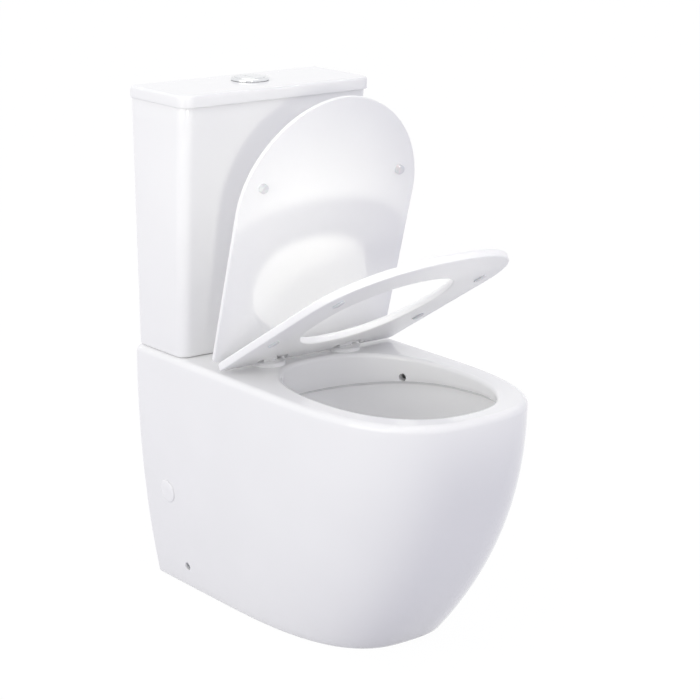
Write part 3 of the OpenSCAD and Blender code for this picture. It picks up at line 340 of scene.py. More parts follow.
def box_loop(width, depth, corner, rear_corner, inset=0.0):
    """A rectangle against the wall with rounded front and rear corners, drawn in by inset."""
    half, near, far = width / 2 - inset, -inset, inset - depth
    bend, rear_bend = (max(radius - inset, LEAST_CORNER) for radius in (corner, rear_corner))
    left = np.concatenate([
        np.linspace((0, near), (rear_bend - half, near), 12, endpoint=False),
        arc((rear_bend - half, near - rear_bend), rear_bend, 90, 180, 9)[:-1],
        np.linspace((-half, near - rear_bend), (-half, far + bend), 12, endpoint=False),
        arc((bend - half, far + bend), bend, 180, 270, 17)[:-1],
        np.linspace((bend - half, far), (0, far), 13)])
    return both_halves(left)


def raised(loop, z):
    """A flat loop lifted to a height, or to one height for each of its points."""
    return np.column_stack([loop, np.broadcast_to(z, len(loop))])


def spanned(first, last, count):
    """The rows between two loops: each point runs straight from one to the other in even steps."""
    return [first + (last - first) * share for share in np.linspace(0, 1, count)[1:-1]]


def crowned(edge, middle, crown, steps):
    """Rows that shrink from an edge to a middle by steps, each crown * (1 - step^2) higher."""
    return [middle + (edge - middle) * step + (0, 0, crown * (1 - step ** 2)) for step in steps]


# ---------- meshes ----------

# how far a cutting tool runs past the face that it opens, and how far pieces that are joined into
# one reach into each other
PAST, OVERLAP = 0.005, 0.001


def new_piece(name, points, *faces):
    """A mesh object from an array of points and arrays of faces, with its place in its vertices."""
    mesh = bpy.data.meshes.new(name)
    mesh.from_pydata(points, [], [face for group in faces for face in group.tolist()])
    mesh.update()
    piece = bpy.data.objects.new(name, mesh)
    bpy.context.scene.collection.objects.link(piece)
    return piece


def grid_quads(rows, columns, closed_rows=False):
    """Quads between neighbouring rows of points; each row closes on itself, and the last row meets
    the first where closed_rows is true. Point number = row * columns + column."""
    row = np.arange(rows if closed_rows else rows - 1)[:, None]
    column = np.arange(columns)[None, :]
    after, above = (column + 1) % columns, (row + 1) % rows
    return np.stack([row * columns + column, row * columns + after,
                     above * columns + after, above * columns + column], -1).reshape(-1, 4)


def solid(name, loops):
    """A closed solid from a stack of equal loops, each end closed by a fan about its middle."""
    loops = np.asarray(loops)
    rows, columns = loops.shape[:2]
    points = np.concatenate([loops.reshape(-1, 3), loops[0].mean(0)[None], loops[-1].mean(0)[None]])
    at = np.arange(columns)
    after, top = (at + 1) % columns, (rows - 1) * columns
    low = np.stack([after, at, np.full(columns, rows * columns)], 1)
    high = np.stack([top + at, top + after, np.full(columns, rows * columns + 1)], 1)
    return new_piece(name, points, grid_quads(rows, columns), low, high)


def closed_ring(name, loops):
    """A ring: loops round an opening, the last of which meets the first again."""
    loops = np.asarray(loops)
    rows, columns = loops.shape[:2]
    return new_piece(name, loops.reshape(-1, 3), grid_quads(rows, columns, True))


def lathed(name, profile, axis_z=True, at=(0, 0, 0), open_bore=False):
    """A profile of (radius, height) pairs turned about an axis: each pair gives one circle. It
    ends in fans on the axis, or closes on itself round a bore. The axis is Z, or X where axis_z
    is False."""
    turn = np.linspace(0, 2 * np.pi, settings("stage").turns, endpoint=False)
    profile = np.asarray(profile, float)
    radius, height = profile[:, :1], profile[:, 1:]
    flat = [radius * np.cos(turn), radius * np.sin(turn),
            np.broadcast_to(height, (len(profile), len(turn)))]
    order = (0, 1, 2) if axis_z else (2, 0, 1)
    loops = np.stack([flat[k] for k in order], -1) + np.array(at)
    return closed_ring(name, loops) if open_bore else solid(name, loops)


def block(name, low, high, corner=0.0001):
    """A box between two corners, with its upright edges rounded to a radius."""
    (x0, y0, z0), (x1, y1, z1) = low, high
    centres = ((x1 - corner, y1 - corner), (x0 + corner, y1 - corner),
               (x0 + corner, y0 + corner), (x1 - corner, y0 + corner))
    loop = np.concatenate([arc(centre, corner, start, start + 90, 7)
                           for centre, start in zip(centres, (0, 90, 180, 270))])
    return solid(name, [raised(loop, z0), raised(loop, z1)])


def rod(name, start, end, radius, after=0.0):
    """A round rod between two points, lengthened past its end."""
    start, end = Vector(start), Vector(end)
    run = end - start
    made = lathed(name, [(radius, 0), (radius, run.length + after)])
    turn = run.to_track_quat("Z", "Y").to_matrix().to_4x4()
    return moved(made, Matrix.Translation(start) @ turn)


def upright(name, x, y, radius, low, high):
    """An upright round rod between two heights."""
    return rod(name, (x, y, low), (x, y, high), radius)


def moved(piece, matrix):
    """Puts a turn or a shift into the vertices, so that the object stays at the origin."""
    piece.data.transform(matrix)
    if matrix.determinant() < 0:
        piece.data.flip_normals()
    return piece


def settle(piece):
    """Applies a piece's modifiers to its mesh."""
    graph = bpy.context.evaluated_depsgraph_get()
    mesh = bpy.data.meshes.new_from_object(piece.evaluated_get(graph))
    piece.modifiers.clear()
    piece.data = mesh
    return piece


def combine(piece, operation, *tools):
    """Cuts, joins or intersects a piece with tools, which are then removed."""
    for tool in tools:
        step = piece.modifiers.new(tool.name, "BOOLEAN")
        step.operation = operation
        step.object = tool
        step.solver = "MANIFOLD"
        step.material_mode = "TRANSFER"
    settle(piece)
    for tool in tools:
        bpy.data.objects.remove(tool)
    if not piece.data.polygons:
        raise RuntimeError(f"{piece.name} came out empty")
    return piece


def mirrored(piece):
    """Adds the piece's mirror image across the plane x = 0, as one mesh."""
    twin = piece.copy()
    twin.data = piece.data.copy()
    bpy.context.scene.collection.objects.link(twin)
    moved(twin, Matrix.Scale(-1, 4, (1, 0, 0)))
    return combine(piece, "UNION", twin)


def softened(piece, width, limit=40):
    """Rounds the edges that are sharper than the limit a little, as moulding does."""
    step = piece.modifiers.new("soft edges", "BEVEL")
    step.width = width
    step.segments = 2
    step.limit_method = "ANGLE"
    step.angle_limit = radians(limit)
    return settle(piece)


def shaded(piece, limit=32):
    """Smooth shading, with creases only where faces meet at more than the limit."""
    piece.data.shade_smooth()
    piece.data.set_sharp_from_angle(angle=radians(limit))
    return piece


def clay(piece, unglazed):
    """Gives a china piece its two finishes, and all of its faces the glaze or the bare clay. The
    faces that an unglazed tool cuts are unglazed too."""
    faces = piece.data.polygons
    piece.data.materials.clear()
    for finish in ("glazed china", "unglazed china"):
        piece.data.materials.append(material(finish))
    faces.foreach_set("material_index", np.full(len(faces), unglazed, int))
    return piece


def fitted(piece, nodes, body, finish=None):
    """Gives a finished piece its material, unless it is of china, and its place in the frame
    instead of one or more CAD nodes."""
    if finish:
        piece.data.materials.clear()
        piece.data.materials.append(material(finish))
    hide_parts(*([nodes] if isinstance(nodes, str) else nodes))
    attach(piece, body)
    return piece


# ---------- materials ----------

def feed(tree, socket, value):
    """Sets a socket to a value, or links it where the value is another node's socket."""
    if isinstance(value, bpy.types.NodeSocket):
        tree.links.new(value, socket)
    else:
        socket.default_value = value


def node_group(name, inputs, outputs):
    """An empty shader group with named float, vector or colour sockets, and its two end nodes."""
    group = bpy.data.node_groups.new(name, "ShaderNodeTree")
    for label, kind, value in inputs:
        socket = group.interface.new_socket(label, in_out="INPUT", socket_type="NodeSocket" + kind)
        if value is not None:
            socket.default_value = value
    for label, kind in outputs:
        group.interface.new_socket(label, in_out="OUTPUT", socket_type="NodeSocket" + kind)
    return group, group.nodes.new("NodeGroupInput"), group.nodes.new("NodeGroupOutput")


def noise(tree, vector, scale, detail, roughness=0.5):
    """The value of a noise texture."""
    made = tree.nodes.new("ShaderNodeTexNoise")
    for label, value in (("Vector", vector), ("Scale", scale), ("Detail", detail),
                         ("Roughness", roughness)):
        feed(tree, made.inputs[label], value)
    return made.outputs["Fac"]


def arithmetic(tree, operation, first, second):
    """The result of a Math node."""
    made = tree.nodes.new("ShaderNodeMath")
    made.operation = operation
    feed(tree, made.inputs[0], first)
    feed(tree, made.inputs[1], second)
    return made.outputs[0]


def in_range(tree, value, low, high, to_low=0.0, to_high=1.0):
    """A value carried from one range to another, smoothly at both ends."""
    made = tree.nodes.new("ShaderNodeMapRange")
    made.interpolation_type = "SMOOTHSTEP"
    for label, number in (("Value", value), ("From Min", low), ("From Max", high),
                          ("To Min", to_low), ("To Max", to_high)):
        feed(tree, made.inputs[label], number)
    return made.outputs["Result"]


def surface_group():
    """Slow waves and fine grain: a height for a Bump node, and a mask that follows the waves."""
    group, start, end = node_group(
        "toilet surface",
        [("Vector", "Vector", None), ("Wave Scale", "Float", 9.0), ("Grain Scale", "Float", 900.0),
         ("Grain Share", "Float", 0.1)],
        [("Height", "Float"), ("Mask", "Float")])
    wave = noise(group, start.outputs["Vector"], start.outputs["Wave Scale"], detail=1.5)
    grain = noise(group, start.outputs["Vector"], start.outputs["Grain Scale"], detail=3)
    share = arithmetic(group, "MULTIPLY", grain, start.outputs["Grain Share"])
    group.links.new(arithmetic(group, "ADD", wave, share), end.inputs["Height"])
    group.links.new(in_range(group, wave, 0.3, 0.7), end.inputs["Mask"])
    return group


def streaks_group():
    """Fine streaks of a brushed or tumbled finish: noise on coordinates stretched one way."""
    group, start, end = node_group(
        "toilet streaks", [("Vector", "Vector", None), ("Scale", "Float", 60.0)],
        [("Height", "Float"), ("Mask", "Float")])
    stretch = group.nodes.new("ShaderNodeMapping")
    stretch.inputs["Scale"].default_value = (1.0, 14.0, 1.0)
    group.links.new(start.outputs["Vector"], stretch.inputs["Vector"])
    streaks = noise(group, stretch.outputs["Vector"], start.outputs["Scale"], detail=4,
                    roughness=0.65)
    group.links.new(streaks, end.inputs["Height"])
    group.links.new(in_range(group, streaks, 0.35, 0.65), end.inputs["Mask"])
    return group


def tint_group():
    """Two close colours, mixed by a mask, so that no surface is one flat colour."""
    group, start, end = node_group(
        "toilet tint",
        [("Mask", "Float", 0.5), ("First", "Color", None), ("Second", "Color", None)],
        [("Color", "Color")])
    mix = group.nodes.new("ShaderNodeMix")
    mix.data_type = "RGBA"
    # a Mix node has sockets for four kinds of data; these are its factor, A and B for colours
    for label, socket in (("Mask", 0), ("First", 6), ("Second", 7)):
        group.links.new(start.outputs[label], mix.inputs[socket])
    group.links.new(mix.outputs[2], end.inputs["Color"])
    return group


EFFECTS = {"surface": surface_group, "streaks": streaks_group, "tint": tint_group}


def placed_effect(tree, effect, values):
    """A node that uses one of the shared effects, built the first time it is asked for."""
    group = bpy.data.node_groups.get("toilet " + effect) or EFFECTS[effect]()
    made = tree.nodes.new("ShaderNodeGroup")
    made.node_tree = group
    for label, value in values.items():
        feed(tree, made.inputs[label], value)
    return made


def waves(scale, grain, share):
    """The surface effect with its scales and the grain's share in the height."""
    return "surface", {"Wave Scale": scale, "Grain Scale": grain, "Grain Share": share}


def streaks(scale):
    """The streaks effect with its scale."""
    return "streaks", {"Scale": scale}


# A finish: its colour among the look settings, how its second shade differs from that, its range
# of roughness, its effect, the strength and depth of its bump, and its shader's fixed inputs
Finish = namedtuple("Finish", "look fade rough effect bump fixed")
GLOSS = {"IOR": 1.5, "Coat Weight": 0.25, "Coat Roughness": 0.03}
METAL = {"Metallic": 1.0}
FINISHES = {
    # vitreous china under a clear gloss glaze that flows in long low waves
    "glazed china": Finish("china", 0.985, rough=(0.06, 0.11), effect=waves(7.0, 420.0, 0.02),
                           bump=(0.25, 0.0006), fixed=GLOSS),
    # bare fired clay, warm white and matt, with a fine grain
    "unglazed china": Finish("biscuit", 0.9, rough=(0.75, 0.92), effect=waves(22.0, 700.0, 0.6),
                             bump=(0.35, 0.0008), fixed={"IOR": 1.45}),
    # compression moulded thermoset of the seat and cover, flatter than the glaze
    "moulded resin": Finish("resin", 0.99, rough=(0.30, 0.36), effect=waves(12.0, 900.0, 0.05),
                            bump=(0.12, 0.0004), fixed={"IOR": 1.5}),
    # glossy moulded plastic of the cover caps and the hinge parts
    "gloss plastic": Finish("resin", 0.98, rough=(0.07, 0.12), effect=waves(40.0, 1200.0, 0.1),
                            bump=(0.15, 0.0003), fixed=GLOSS),
    # soft translucent white of the bumpers
    "soft bumper": Finish("soft_white", 0.95, rough=(0.4, 0.55), effect=waves(60.0, 1500.0, 0.2),
                          bump=(0.2, 0.0003),
                          fixed={"IOR": 1.42, "Subsurface Weight": 0.15,
                                 "Subsurface Scale": 0.004}),
    "white valve plastic": Finish("white_plastic", 0.93, rough=(0.38, 0.55),
                                  effect=waves(35.0, 1400.0, 0.25), bump=(0.25, 0.0004),
                                  fixed={"IOR": 1.46}),
    "blue valve plastic": Finish("blue_plastic", 0.85, rough=(0.34, 0.5),
                                 effect=waves(35.0, 1400.0, 0.25), bump=(0.25, 0.0004),
                                 fixed={"IOR": 1.46}),
    "black rubber": Finish("rubber", 1.8, rough=(0.62, 0.8), effect=waves(50.0, 1600.0, 0.5),
                           bump=(0.4, 0.0005), fixed={"IOR": 1.5}),
    # bright nickel and chrome plate of the buttons
    "bright plate": Finish("plate", 0.93, rough=(0.09, 0.16), effect=streaks(40.0),
                           bump=(0.04, 0.0002), fixed=METAL),
    "zinc plate": Finish("zinc", 0.93, rough=(0.3, 0.48), effect=streaks(90.0),
                         bump=(0.2, 0.0002), fixed=METAL),
}
# the CAD nodes that stay as they are, and the finish that each gets
KEPT_NODES = {
    "white valve plastic": ["button_nut", "half_flush_rod", "full_flush_rod", "flush_valve_base",
                            "flush_valve_nut", "flush_valve_tower", "fill_valve_body",
                            "fill_valve_nut", "float_arm", "coupling_wing_nuts", "seat_dampers",
                            "cover_dampers", "hinge_wing_nuts"],
    "blue valve plastic": ["overflow_tube", "half_flush_lever", "full_flush_lever",
                           "fill_valve_cap", "float_cup"],
    "black rubber": ["flush_valve_washer", "coupling_gasket", "flush_seal", "fill_valve_washer",
                     "coupling_seals", "hinge_cone_washers"],
    "zinc plate": ["floor_brackets", "side_screws", "lever_pin", "float_pin", "coupling_bolts",
                   "coupling_washers", "hinge_pins", "hinge_bolts"],
}


def rgba(shade, factor=1.0):
    """A colour with its alpha, made paler or darker by a factor."""
    return tuple(min(1.0, part * factor) for part in shade) + (1.0,)


def material(name):
    """The Principled material of a finish, made the first time that it is asked for. Its effect
    gives a mask, with which the tint drifts between two shades and the roughness between two
    values, and a height for the bump."""
    made = bpy.data.materials.get(name)
    if made:
        return made
    finish = FINISHES[name]
    shade = getattr(settings("look"), finish.look)
    made = bpy.data.materials.new(name)
    made.use_nodes = True
    tree = made.node_tree
    shader = tree.nodes["Principled BSDF"]
    place = tree.nodes.new("ShaderNodeTexCoord")
    effect, scales = finish.effect
    drift = placed_effect(tree, effect, {"Vector": place.outputs["Object"], **scales})
    mask = drift.outputs["Mask"]
    tint = placed_effect(tree, "tint", {"Mask": mask, "First": rgba(shade),
                                        "Second": rgba(shade, finish.fade)})
    relief = tree.nodes.new("ShaderNodeBump")
    relief.inputs["Strength"].default_value, relief.inputs["Distance"].default_value = finish.bump
    tree.links.new(drift.outputs["Height"], relief.inputs["Height"])
    for label, value in {"Base Color": tint.outputs["Color"],
                         "Roughness": in_range(tree, mask, 0, 1, *finish.rough),
                         "Normal": relief.outputs["Normal"], **finish.fixed}.items():
        feed(tree, shader.inputs[label], value)
    return made


# ---------- the pan ----------

# squareness of the sump; how long the bowl's front wall stays steep, and how full it is
SUMP_SQUARENESS, STEEPNESS, FULLNESS = 2.2, 1.9, 0.72
# how far the bowl's wall starts below the lip, how round the lip is, and how far the sump is dished
LIP_STEP, LIP_EDGE, SUMP_DISH = 0.005, 0.002, 0.004
# distances behind the sump's middle at which the trap and its low bend start, the level piece at
# its end, and what its bore keeps from the sump's floor and from the spigot's bore
TRAP_START, BEND_START, TRAP_END, BORE_CLEARANCE = 0.015, 0.060, 0.002, 0.0015

# The flush waterway: the gasket's recess in the deck, an inlet and a chamber under it, a channel
# from there to the outlet in the bowl, and the housing round them. Places are sideways distance,
# distance from the wall and height; the chamber's corners are taken from the valve's axis.
RECESS, RECESS_FLOOR = 0.048, PAN_HIGH.z - 0.034
INLET = 0.027
CHAMBER_TOP, CHAMBER_HEIGHT = RECESS_FLOOR - 0.009, 0.017
CHAMBER = ((-0.036, -0.044), (0.076, 0.040))
CHANNEL, CHANNEL_WALL = 0.008, 0.014
CHANNEL_START = (0.066, -0.092, RECESS_FLOOR - 0.0175)
CHANNEL_END = (0.135, -0.313, RECESS_FLOOR)
OUTLET_END = (0.115, -0.321, RECESS_FLOOR)
HOUSING = ((-0.056, -0.126), (0.088, -0.014))

# radii of the holes in the deck for the fill valve's tail, the cistern's bolts and the seat's bolts
FILL_PASSAGE, BOLT_PASSAGE, HINGE_PASSAGE = 0.019, 0.006, 0.007
# a side fixing hole's bore and the depth of its wide part, and how deep and far out side holes run
FIXING_BORE, FIXING_SINK, SIDE_IN, SIDE_OUT = 0.004, 0.007, 0.024, 0.012
# a cover cap: how round its edge is and how high that rises, the height of its dome, how far it
# stands off the skirt, and its stem's play in the hole, length and chamfer
CAP_EDGE, CAP_RISE, CAP_DOME, CAP_LIFT = 0.0024, 0.0015, 0.0025, 0.0003
CAP_PLAY, CAP_STEM, CAP_CHAMFER = 0.002, 0.017, 0.001


def swell(z, power):
    """How far the skirt has swollen at a height: 1 - (1 - z / height) ^ power."""
    return 1 - (1 - np.clip(z / settings("pan").height, 0, 1)) ** power


def half_width(z):
    """Half the skirt's width at a height."""
    pan = settings("pan")
    return (pan.foot_width + (pan.width - pan.foot_width) * swell(z, pan.side_swell)) / 2


def skirt_loop(z, inset=0.0, back=0.0):
    """The skirt's outline at a height: a D whose width, reach and straight side swell with z."""
    pan = settings("pan")
    share = swell(z, pan.front_swell)
    reach = pan.foot_reach + (pan.reach - pan.foot_reach) * share - inset
    side = pan.foot_side + (pan.side - pan.foot_side) * share
    return raised(d_loop(2 * (half_width(z) - inset), reach, side, pan.squareness, back), z)


def opening(grow=0.0):
    """The bowl's opening, grown outwards."""
    pan, bowl = settings("pan"), settings("bowl")
    return oval_loop(bowl.width + 2 * grow, bowl.rear - grow, pan.reach - bowl.rim + grow,
                     bowl.squareness)


def backness():
    """1 at the rear middle of the opening and 0 at its front: ((1 + cos a) / 2) ^ 1.5, where a is
    the superellipse's own angle."""
    loop, bowl, pan = opening(), settings("bowl"), settings("pan")
    middle, half = (bowl.rear + pan.reach - bowl.rim) / 2, (pan.reach - bowl.rim - bowl.rear) / 2
    along = np.clip((loop[:, 1] + middle) / half, -1, 1)
    cosine = np.sign(along) * np.abs(along) ** (bowl.squareness / 2)
    return ((1 + cosine) / 2) ** 1.5


def lip_height():
    """Height of the lip's lower edge at each point of the opening, lowest at the back."""
    bowl = settings("bowl")
    return settings("pan").height - bowl.lip_front - (bowl.lip_back - bowl.lip_front) * backness()


def bowl_rows(grow, steps):
    """The bowl's wall from under the lip to the sump: each point runs from the grown opening to
    the sump's oval, its share k falling as (1 - t^1.9)^0.72 in front and 1 - t at the back."""
    bowl = settings("bowl")
    top = lip_height() - LIP_STEP
    outer = opening(bowl.undercut + grow)
    sump = oval_loop(bowl.sump_width, bowl.sump_y - bowl.sump_length / 2,
                     bowl.sump_y + bowl.sump_length / 2, SUMP_SQUARENESS)
    middle = np.array([0, -bowl.sump_y])
    sump = middle + (sump - middle) * (1 + 2 * grow / bowl.sump_width)
    rear = backness()
    rows = []
    for t in steps:
        share = ((1 - rear) * (1 - t ** STEEPNESS) ** FULLNESS + rear * (1 - t))[:, None]
        flat = outer * share + sump * (1 - share)
        rows.append(raised(flat, top + (bowl.sump_z - grow - top) * t))
    return rows


def pan_skin():
    """The outside of the pan and the inside of its bowl in one surface: rows climb from the foot
    over the skirt, shoulder, deck and lip, and go down the bowl to the middle of the sump."""
    pan, bowl = settings("pan"), settings("bowl")
    top, edge, low = pan.height, bowl.edge, lip_height()
    rows = [skirt_loop(z, inset) for inset, z in low_edge(pan.foot_round, 0, 7)]
    rows += [skirt_loop(z) for z in np.linspace(pan.foot_round, top - pan.shoulder, 44)[1:]]
    rows += [skirt_loop(z, inset) for inset, z in high_edge(pan.shoulder, top, 11)[1:]]
    rows += spanned(rows[-1], raised(opening(edge), top), 15)
    rows += [raised(opening(grow), z) for grow, z in arc((edge, top - edge), edge, 90, 180, 9)]
    rows += [raised(opening(), (top - edge) * (1 - share) + (low + LIP_EDGE) * share)
             for share in (0.35, 0.7, 1.0)]
    rows += [raised(opening(LIP_EDGE * 0.3), low + LIP_EDGE * 0.3), raised(opening(LIP_EDGE), low)]
    rows += bowl_rows(0.0, np.linspace(0, 1, 61))
    floor = rows[-1]
    middle = floor.mean(0)
    rows += [middle + (floor - middle) * share - (0, 0, SUMP_DISH * (1 - share))
             for share in (0.8, 0.55, 0.3, 0.12)]
    return solid("pan_china", rows)


def trap_line():
    """The trap's centre line in the plane x = 0, as (y, z): level, up round a low bend, up the
    rising leg, over the top bend and down the falling leg to the spigot."""
    waste, bowl = settings("waste"), settings("bowl")
    rise, fall = waste.rise, waste.fall
    low = bowl.sump_z + waste.passage + BORE_CLEARANCE
    low_centre = np.array([BEND_START - bowl.sump_y, low + waste.low_bend])
    climb = (waste.top - waste.top_bend * (1 - cos(rise))
             - low - waste.low_bend * (1 - cos(rise)))
    top_y = low_centre[0] + (waste.low_bend + waste.top_bend) * sin(rise) + climb / tan(rise)
    top_centre = np.array([top_y, waste.top - waste.top_bend])
    drop = waste.top - waste.top_bend * (1 - cos(fall)) - waste.height
    end = top_y + waste.top_bend * sin(fall) + drop / tan(fall)
    return np.concatenate([
        [(TRAP_START - bowl.sump_y, low)],
        arc(low_centre, waste.low_bend, -90, np.degrees(rise) - 90, 17),
        arc(top_centre, waste.top_bend, 90 + np.degrees(rise), 90 - np.degrees(fall), 21),
        [(end, waste.height), (end + TRAP_END, waste.height)]])


def trap_tube(name, extra):
    """A tube along the trap's centre line: a circle square to the line at each of its points,
    whose radius grows evenly from the passage to the spigot's bore."""
    waste = settings("waste")
    line = trap_line()
    slope = np.gradient(line, axis=0)
    slope /= np.linalg.norm(slope, axis=1)[:, None]
    run = np.linspace(0, 1, len(line))
    bore = waste.spigot / 2 - waste.wall - BORE_CLEARANCE
    radius = (waste.passage + (bore - waste.passage) * run + extra)[:, None]
    turn = np.linspace(0, 2 * np.pi, 64, endpoint=False)
    points = np.stack([-radius * np.cos(turn),
                       line[:, :1] - radius * np.sin(turn) * slope[:, 1:],
                       line[:, 1:] + radius * np.sin(turn) * slope[:, :1]], -1)
    return solid(name, points)


def pan_cavity():
    """The hollow of the skirt: its own skin, less the bowl, the waterway's housing and channel,
    the trap and the spigot."""
    pan, bowl, waste = settings("pan"), settings("bowl"), settings("waste")
    levels = np.linspace(-PAST, pan.height - pan.deck, 24)
    hollow = solid("skirt hollow", [skirt_loop(z, pan.wall, PAST) for z in levels])
    shell = solid("bowl shell", bowl_rows(pan.wall, np.linspace(0, 1, 31))[::-1]
                  + [raised(opening(bowl.undercut + pan.wall), pan.height)])
    (left, front), (right, back) = HOUSING
    housing = block("housing", (left, front, CHAMBER_TOP - CHAMBER_HEIGHT - pan.wall),
                    (right, back, pan.height), corner=0.006)
    channel = rod("channel wall", CHANNEL_START, CHANNEL_END, CHANNEL_WALL, after=0.008)
    trap = trap_tube("trap wall", waste.wall - OVERLAP)
    joint = trap_line()[-2][0] - OVERLAP
    spigot = rod("spigot", (0, joint, waste.height), (0, -waste.back, waste.height),
                 waste.spigot / 2)
    return clay(combine(hollow, "DIFFERENCE", shell, housing, channel, trap, spigot), True)


def pan_holes():
    """What is cut out of the pan: the gasket's recess, the flush channel, the trap's bore, the
    spigot's bore, the holes in the deck and the holes in the sides."""
    pan, bowl, waste, skirt, cistern, hinge = (
        settings(name) for name in ("pan", "bowl", "waste", "skirt", "cistern", "hinge"))
    top, centre = pan.height, -cistern.valve_y
    through = (top - pan.deck - PAST, top + PAST)
    (left, front), (right, back) = CHAMBER
    tools = [
        upright("gasket recess", 0, centre, RECESS, RECESS_FLOOR, top + PAST),
        upright("inlet", 0, centre, INLET, CHAMBER_TOP - OVERLAP, top),
        block("chamber", (left, centre + front, CHAMBER_TOP - CHAMBER_HEIGHT),
              (right, centre + back, CHAMBER_TOP), corner=0.004),
        rod("channel", CHANNEL_START, CHANNEL_END, CHANNEL, after=0.003),
        rod("flush outlet", CHANNEL_END, OUTLET_END, bowl.outlet / 2, after=0.012),
        trap_tube("trap bore", 0.0),
        rod("spigot bore", (0, trap_line()[-2][0], waste.height), (0, PAST, waste.height),
            waste.spigot / 2 - waste.wall),
        upright("fill valve hole", -cistern.fill_x, centre, FILL_PASSAGE, *through)]
    side_holes = ((skirt.cap_z, skirt.cap_y, skirt.cap_hole / 2, SIDE_IN),
                  (skirt.fixing_z, skirt.fixing_y, FIXING_BORE, SIDE_IN),
                  (skirt.fixing_z, skirt.fixing_y, skirt.fixing / 2, FIXING_SINK))
    for side in (-1, 1):
        tools += [upright("bolt hole", side * cistern.bolt_x, centre, BOLT_PASSAGE, *through),
                  upright("hinge hole", side * hinge.spacing / 2, HINGE.y, HINGE_PASSAGE,
                          *through)]
        for z, y, radius, deep in side_holes:
            out = float(half_width(z))
            tools.append(rod("side hole", (side * (out - deep), -y, z),
                             (side * (out + SIDE_OUT), -y, z), radius))
    return tools


class TOILET_OT_pan(bpy.types.Operator):
    """Makes the pan: one glazed skin from foot to sump, hollowed behind and pierced"""
    bl_idname = "toilet.pan"
    bl_label = "Pan"

    def execute(self, context):
        skin = clay(pan_skin(), False)
        combine(skin, "DIFFERENCE", pan_cavity())
        combine(skin, "DIFFERENCE", *pan_holes())
        fitted(shaded(skin, 38), PAN_NODES, "base")
        return {"FINISHED"}


class TOILET_OT_side_caps(bpy.types.Operator):
    """Makes the domed cover caps in the skirt's sides"""
    bl_idname = "toilet.side_caps"
    bl_label = "Side caps"

    def execute(self, context):
        skirt = settings("skirt")
        radius, stem, z = skirt.cap / 2, skirt.cap_hole / 2 - CAP_PLAY, skirt.cap_z
        turn = np.radians(np.linspace(0, 78, 9))
        rim = np.stack([radius - CAP_EDGE + CAP_EDGE * np.cos(turn), CAP_RISE * np.sin(turn)], 1)
        (start, low), centre = rim[-1], 0.001
        across = np.linspace(start, centre, 14)[1:]
        crown = np.stack([across, low + (CAP_DOME - low) * (1 - (across / radius) ** 2)], 1)
        shank = [(stem - CAP_CHAMFER, -CAP_STEM), (stem, CAP_CHAMFER - CAP_STEM),
                 (stem, -CAP_CHAMFER), (stem, 0), (radius, 0)]
        cap = lathed("side_cap_moulding", np.concatenate([shank, rim[1:], crown]))
        step = 0.001
        lean = np.arctan(float(half_width(z + step) - half_width(z - step)) / (2 * step))
        seat = Vector((float(half_width(z)) + CAP_LIFT, -skirt.cap_y, z))
        moved(cap, Matrix.Translation(seat) @ Matrix.Rotation(radians(90) + lean, 4, "Y"))
        fitted(shaded(mirrored(cap)), "side_caps", "base", "gloss plastic")
        return {"FINISHED"}


# ---------- the cistern ----------

# how round the tank's foot is outside and inside, and its top edge
TANK_FOOT, TANK_INSIDE, TANK_TOP = 0.005, 0.008, 0.0015
# how round the lid is above and below, how high its crown is, and how its corners differ
LID_SOFT, LID_UNDER, LID_CROWN, LID_CORNER = 0.0045, 0.0012, 0.0006, 0.002
# the lid's locating rim: what it leaves free inside the tank, its thickness, depth and soft edge
RIM_PLAY, RIM_THICK, RIM_DEEP, RIM_SOFT = 0.003, 0.006, 0.009, 0.0015
# what the lid's hole leaves round the buttons
HOLE_PLAY = 0.003


def tank_loop(z, inset=0.0):
    """The tank's outline at a height: width and depth grow evenly from the deck to the lid."""
    cistern = settings("cistern")
    share = (z - TANK_LOW.z) / (TANK_HIGH.z - TANK_LOW.z)
    width = cistern.low_width + (cistern.width - cistern.low_width) * share
    depth = cistern.low_depth + (cistern.depth - cistern.low_depth) * share
    return raised(box_loop(width, depth, cistern.corner, cistern.rear_corner, inset), z)


def lid_loop(z, inset):
    """The lid's outline at a height."""
    cistern = settings("cistern")
    return raised(box_loop(cistern.lid_width, cistern.lid_depth, cistern.corner + LID_CORNER,
                           cistern.rear_corner, inset), z)


def rim_loop(z, inset):
    """Outline of the lid's locating rim at a height, drawn in from the tank's."""
    cistern = settings("cistern")
    return raised(box_loop(cistern.width, cistern.depth, cistern.corner - LID_CORNER,
                           cistern.rear_corner, cistern.wall + RIM_PLAY + inset), z)


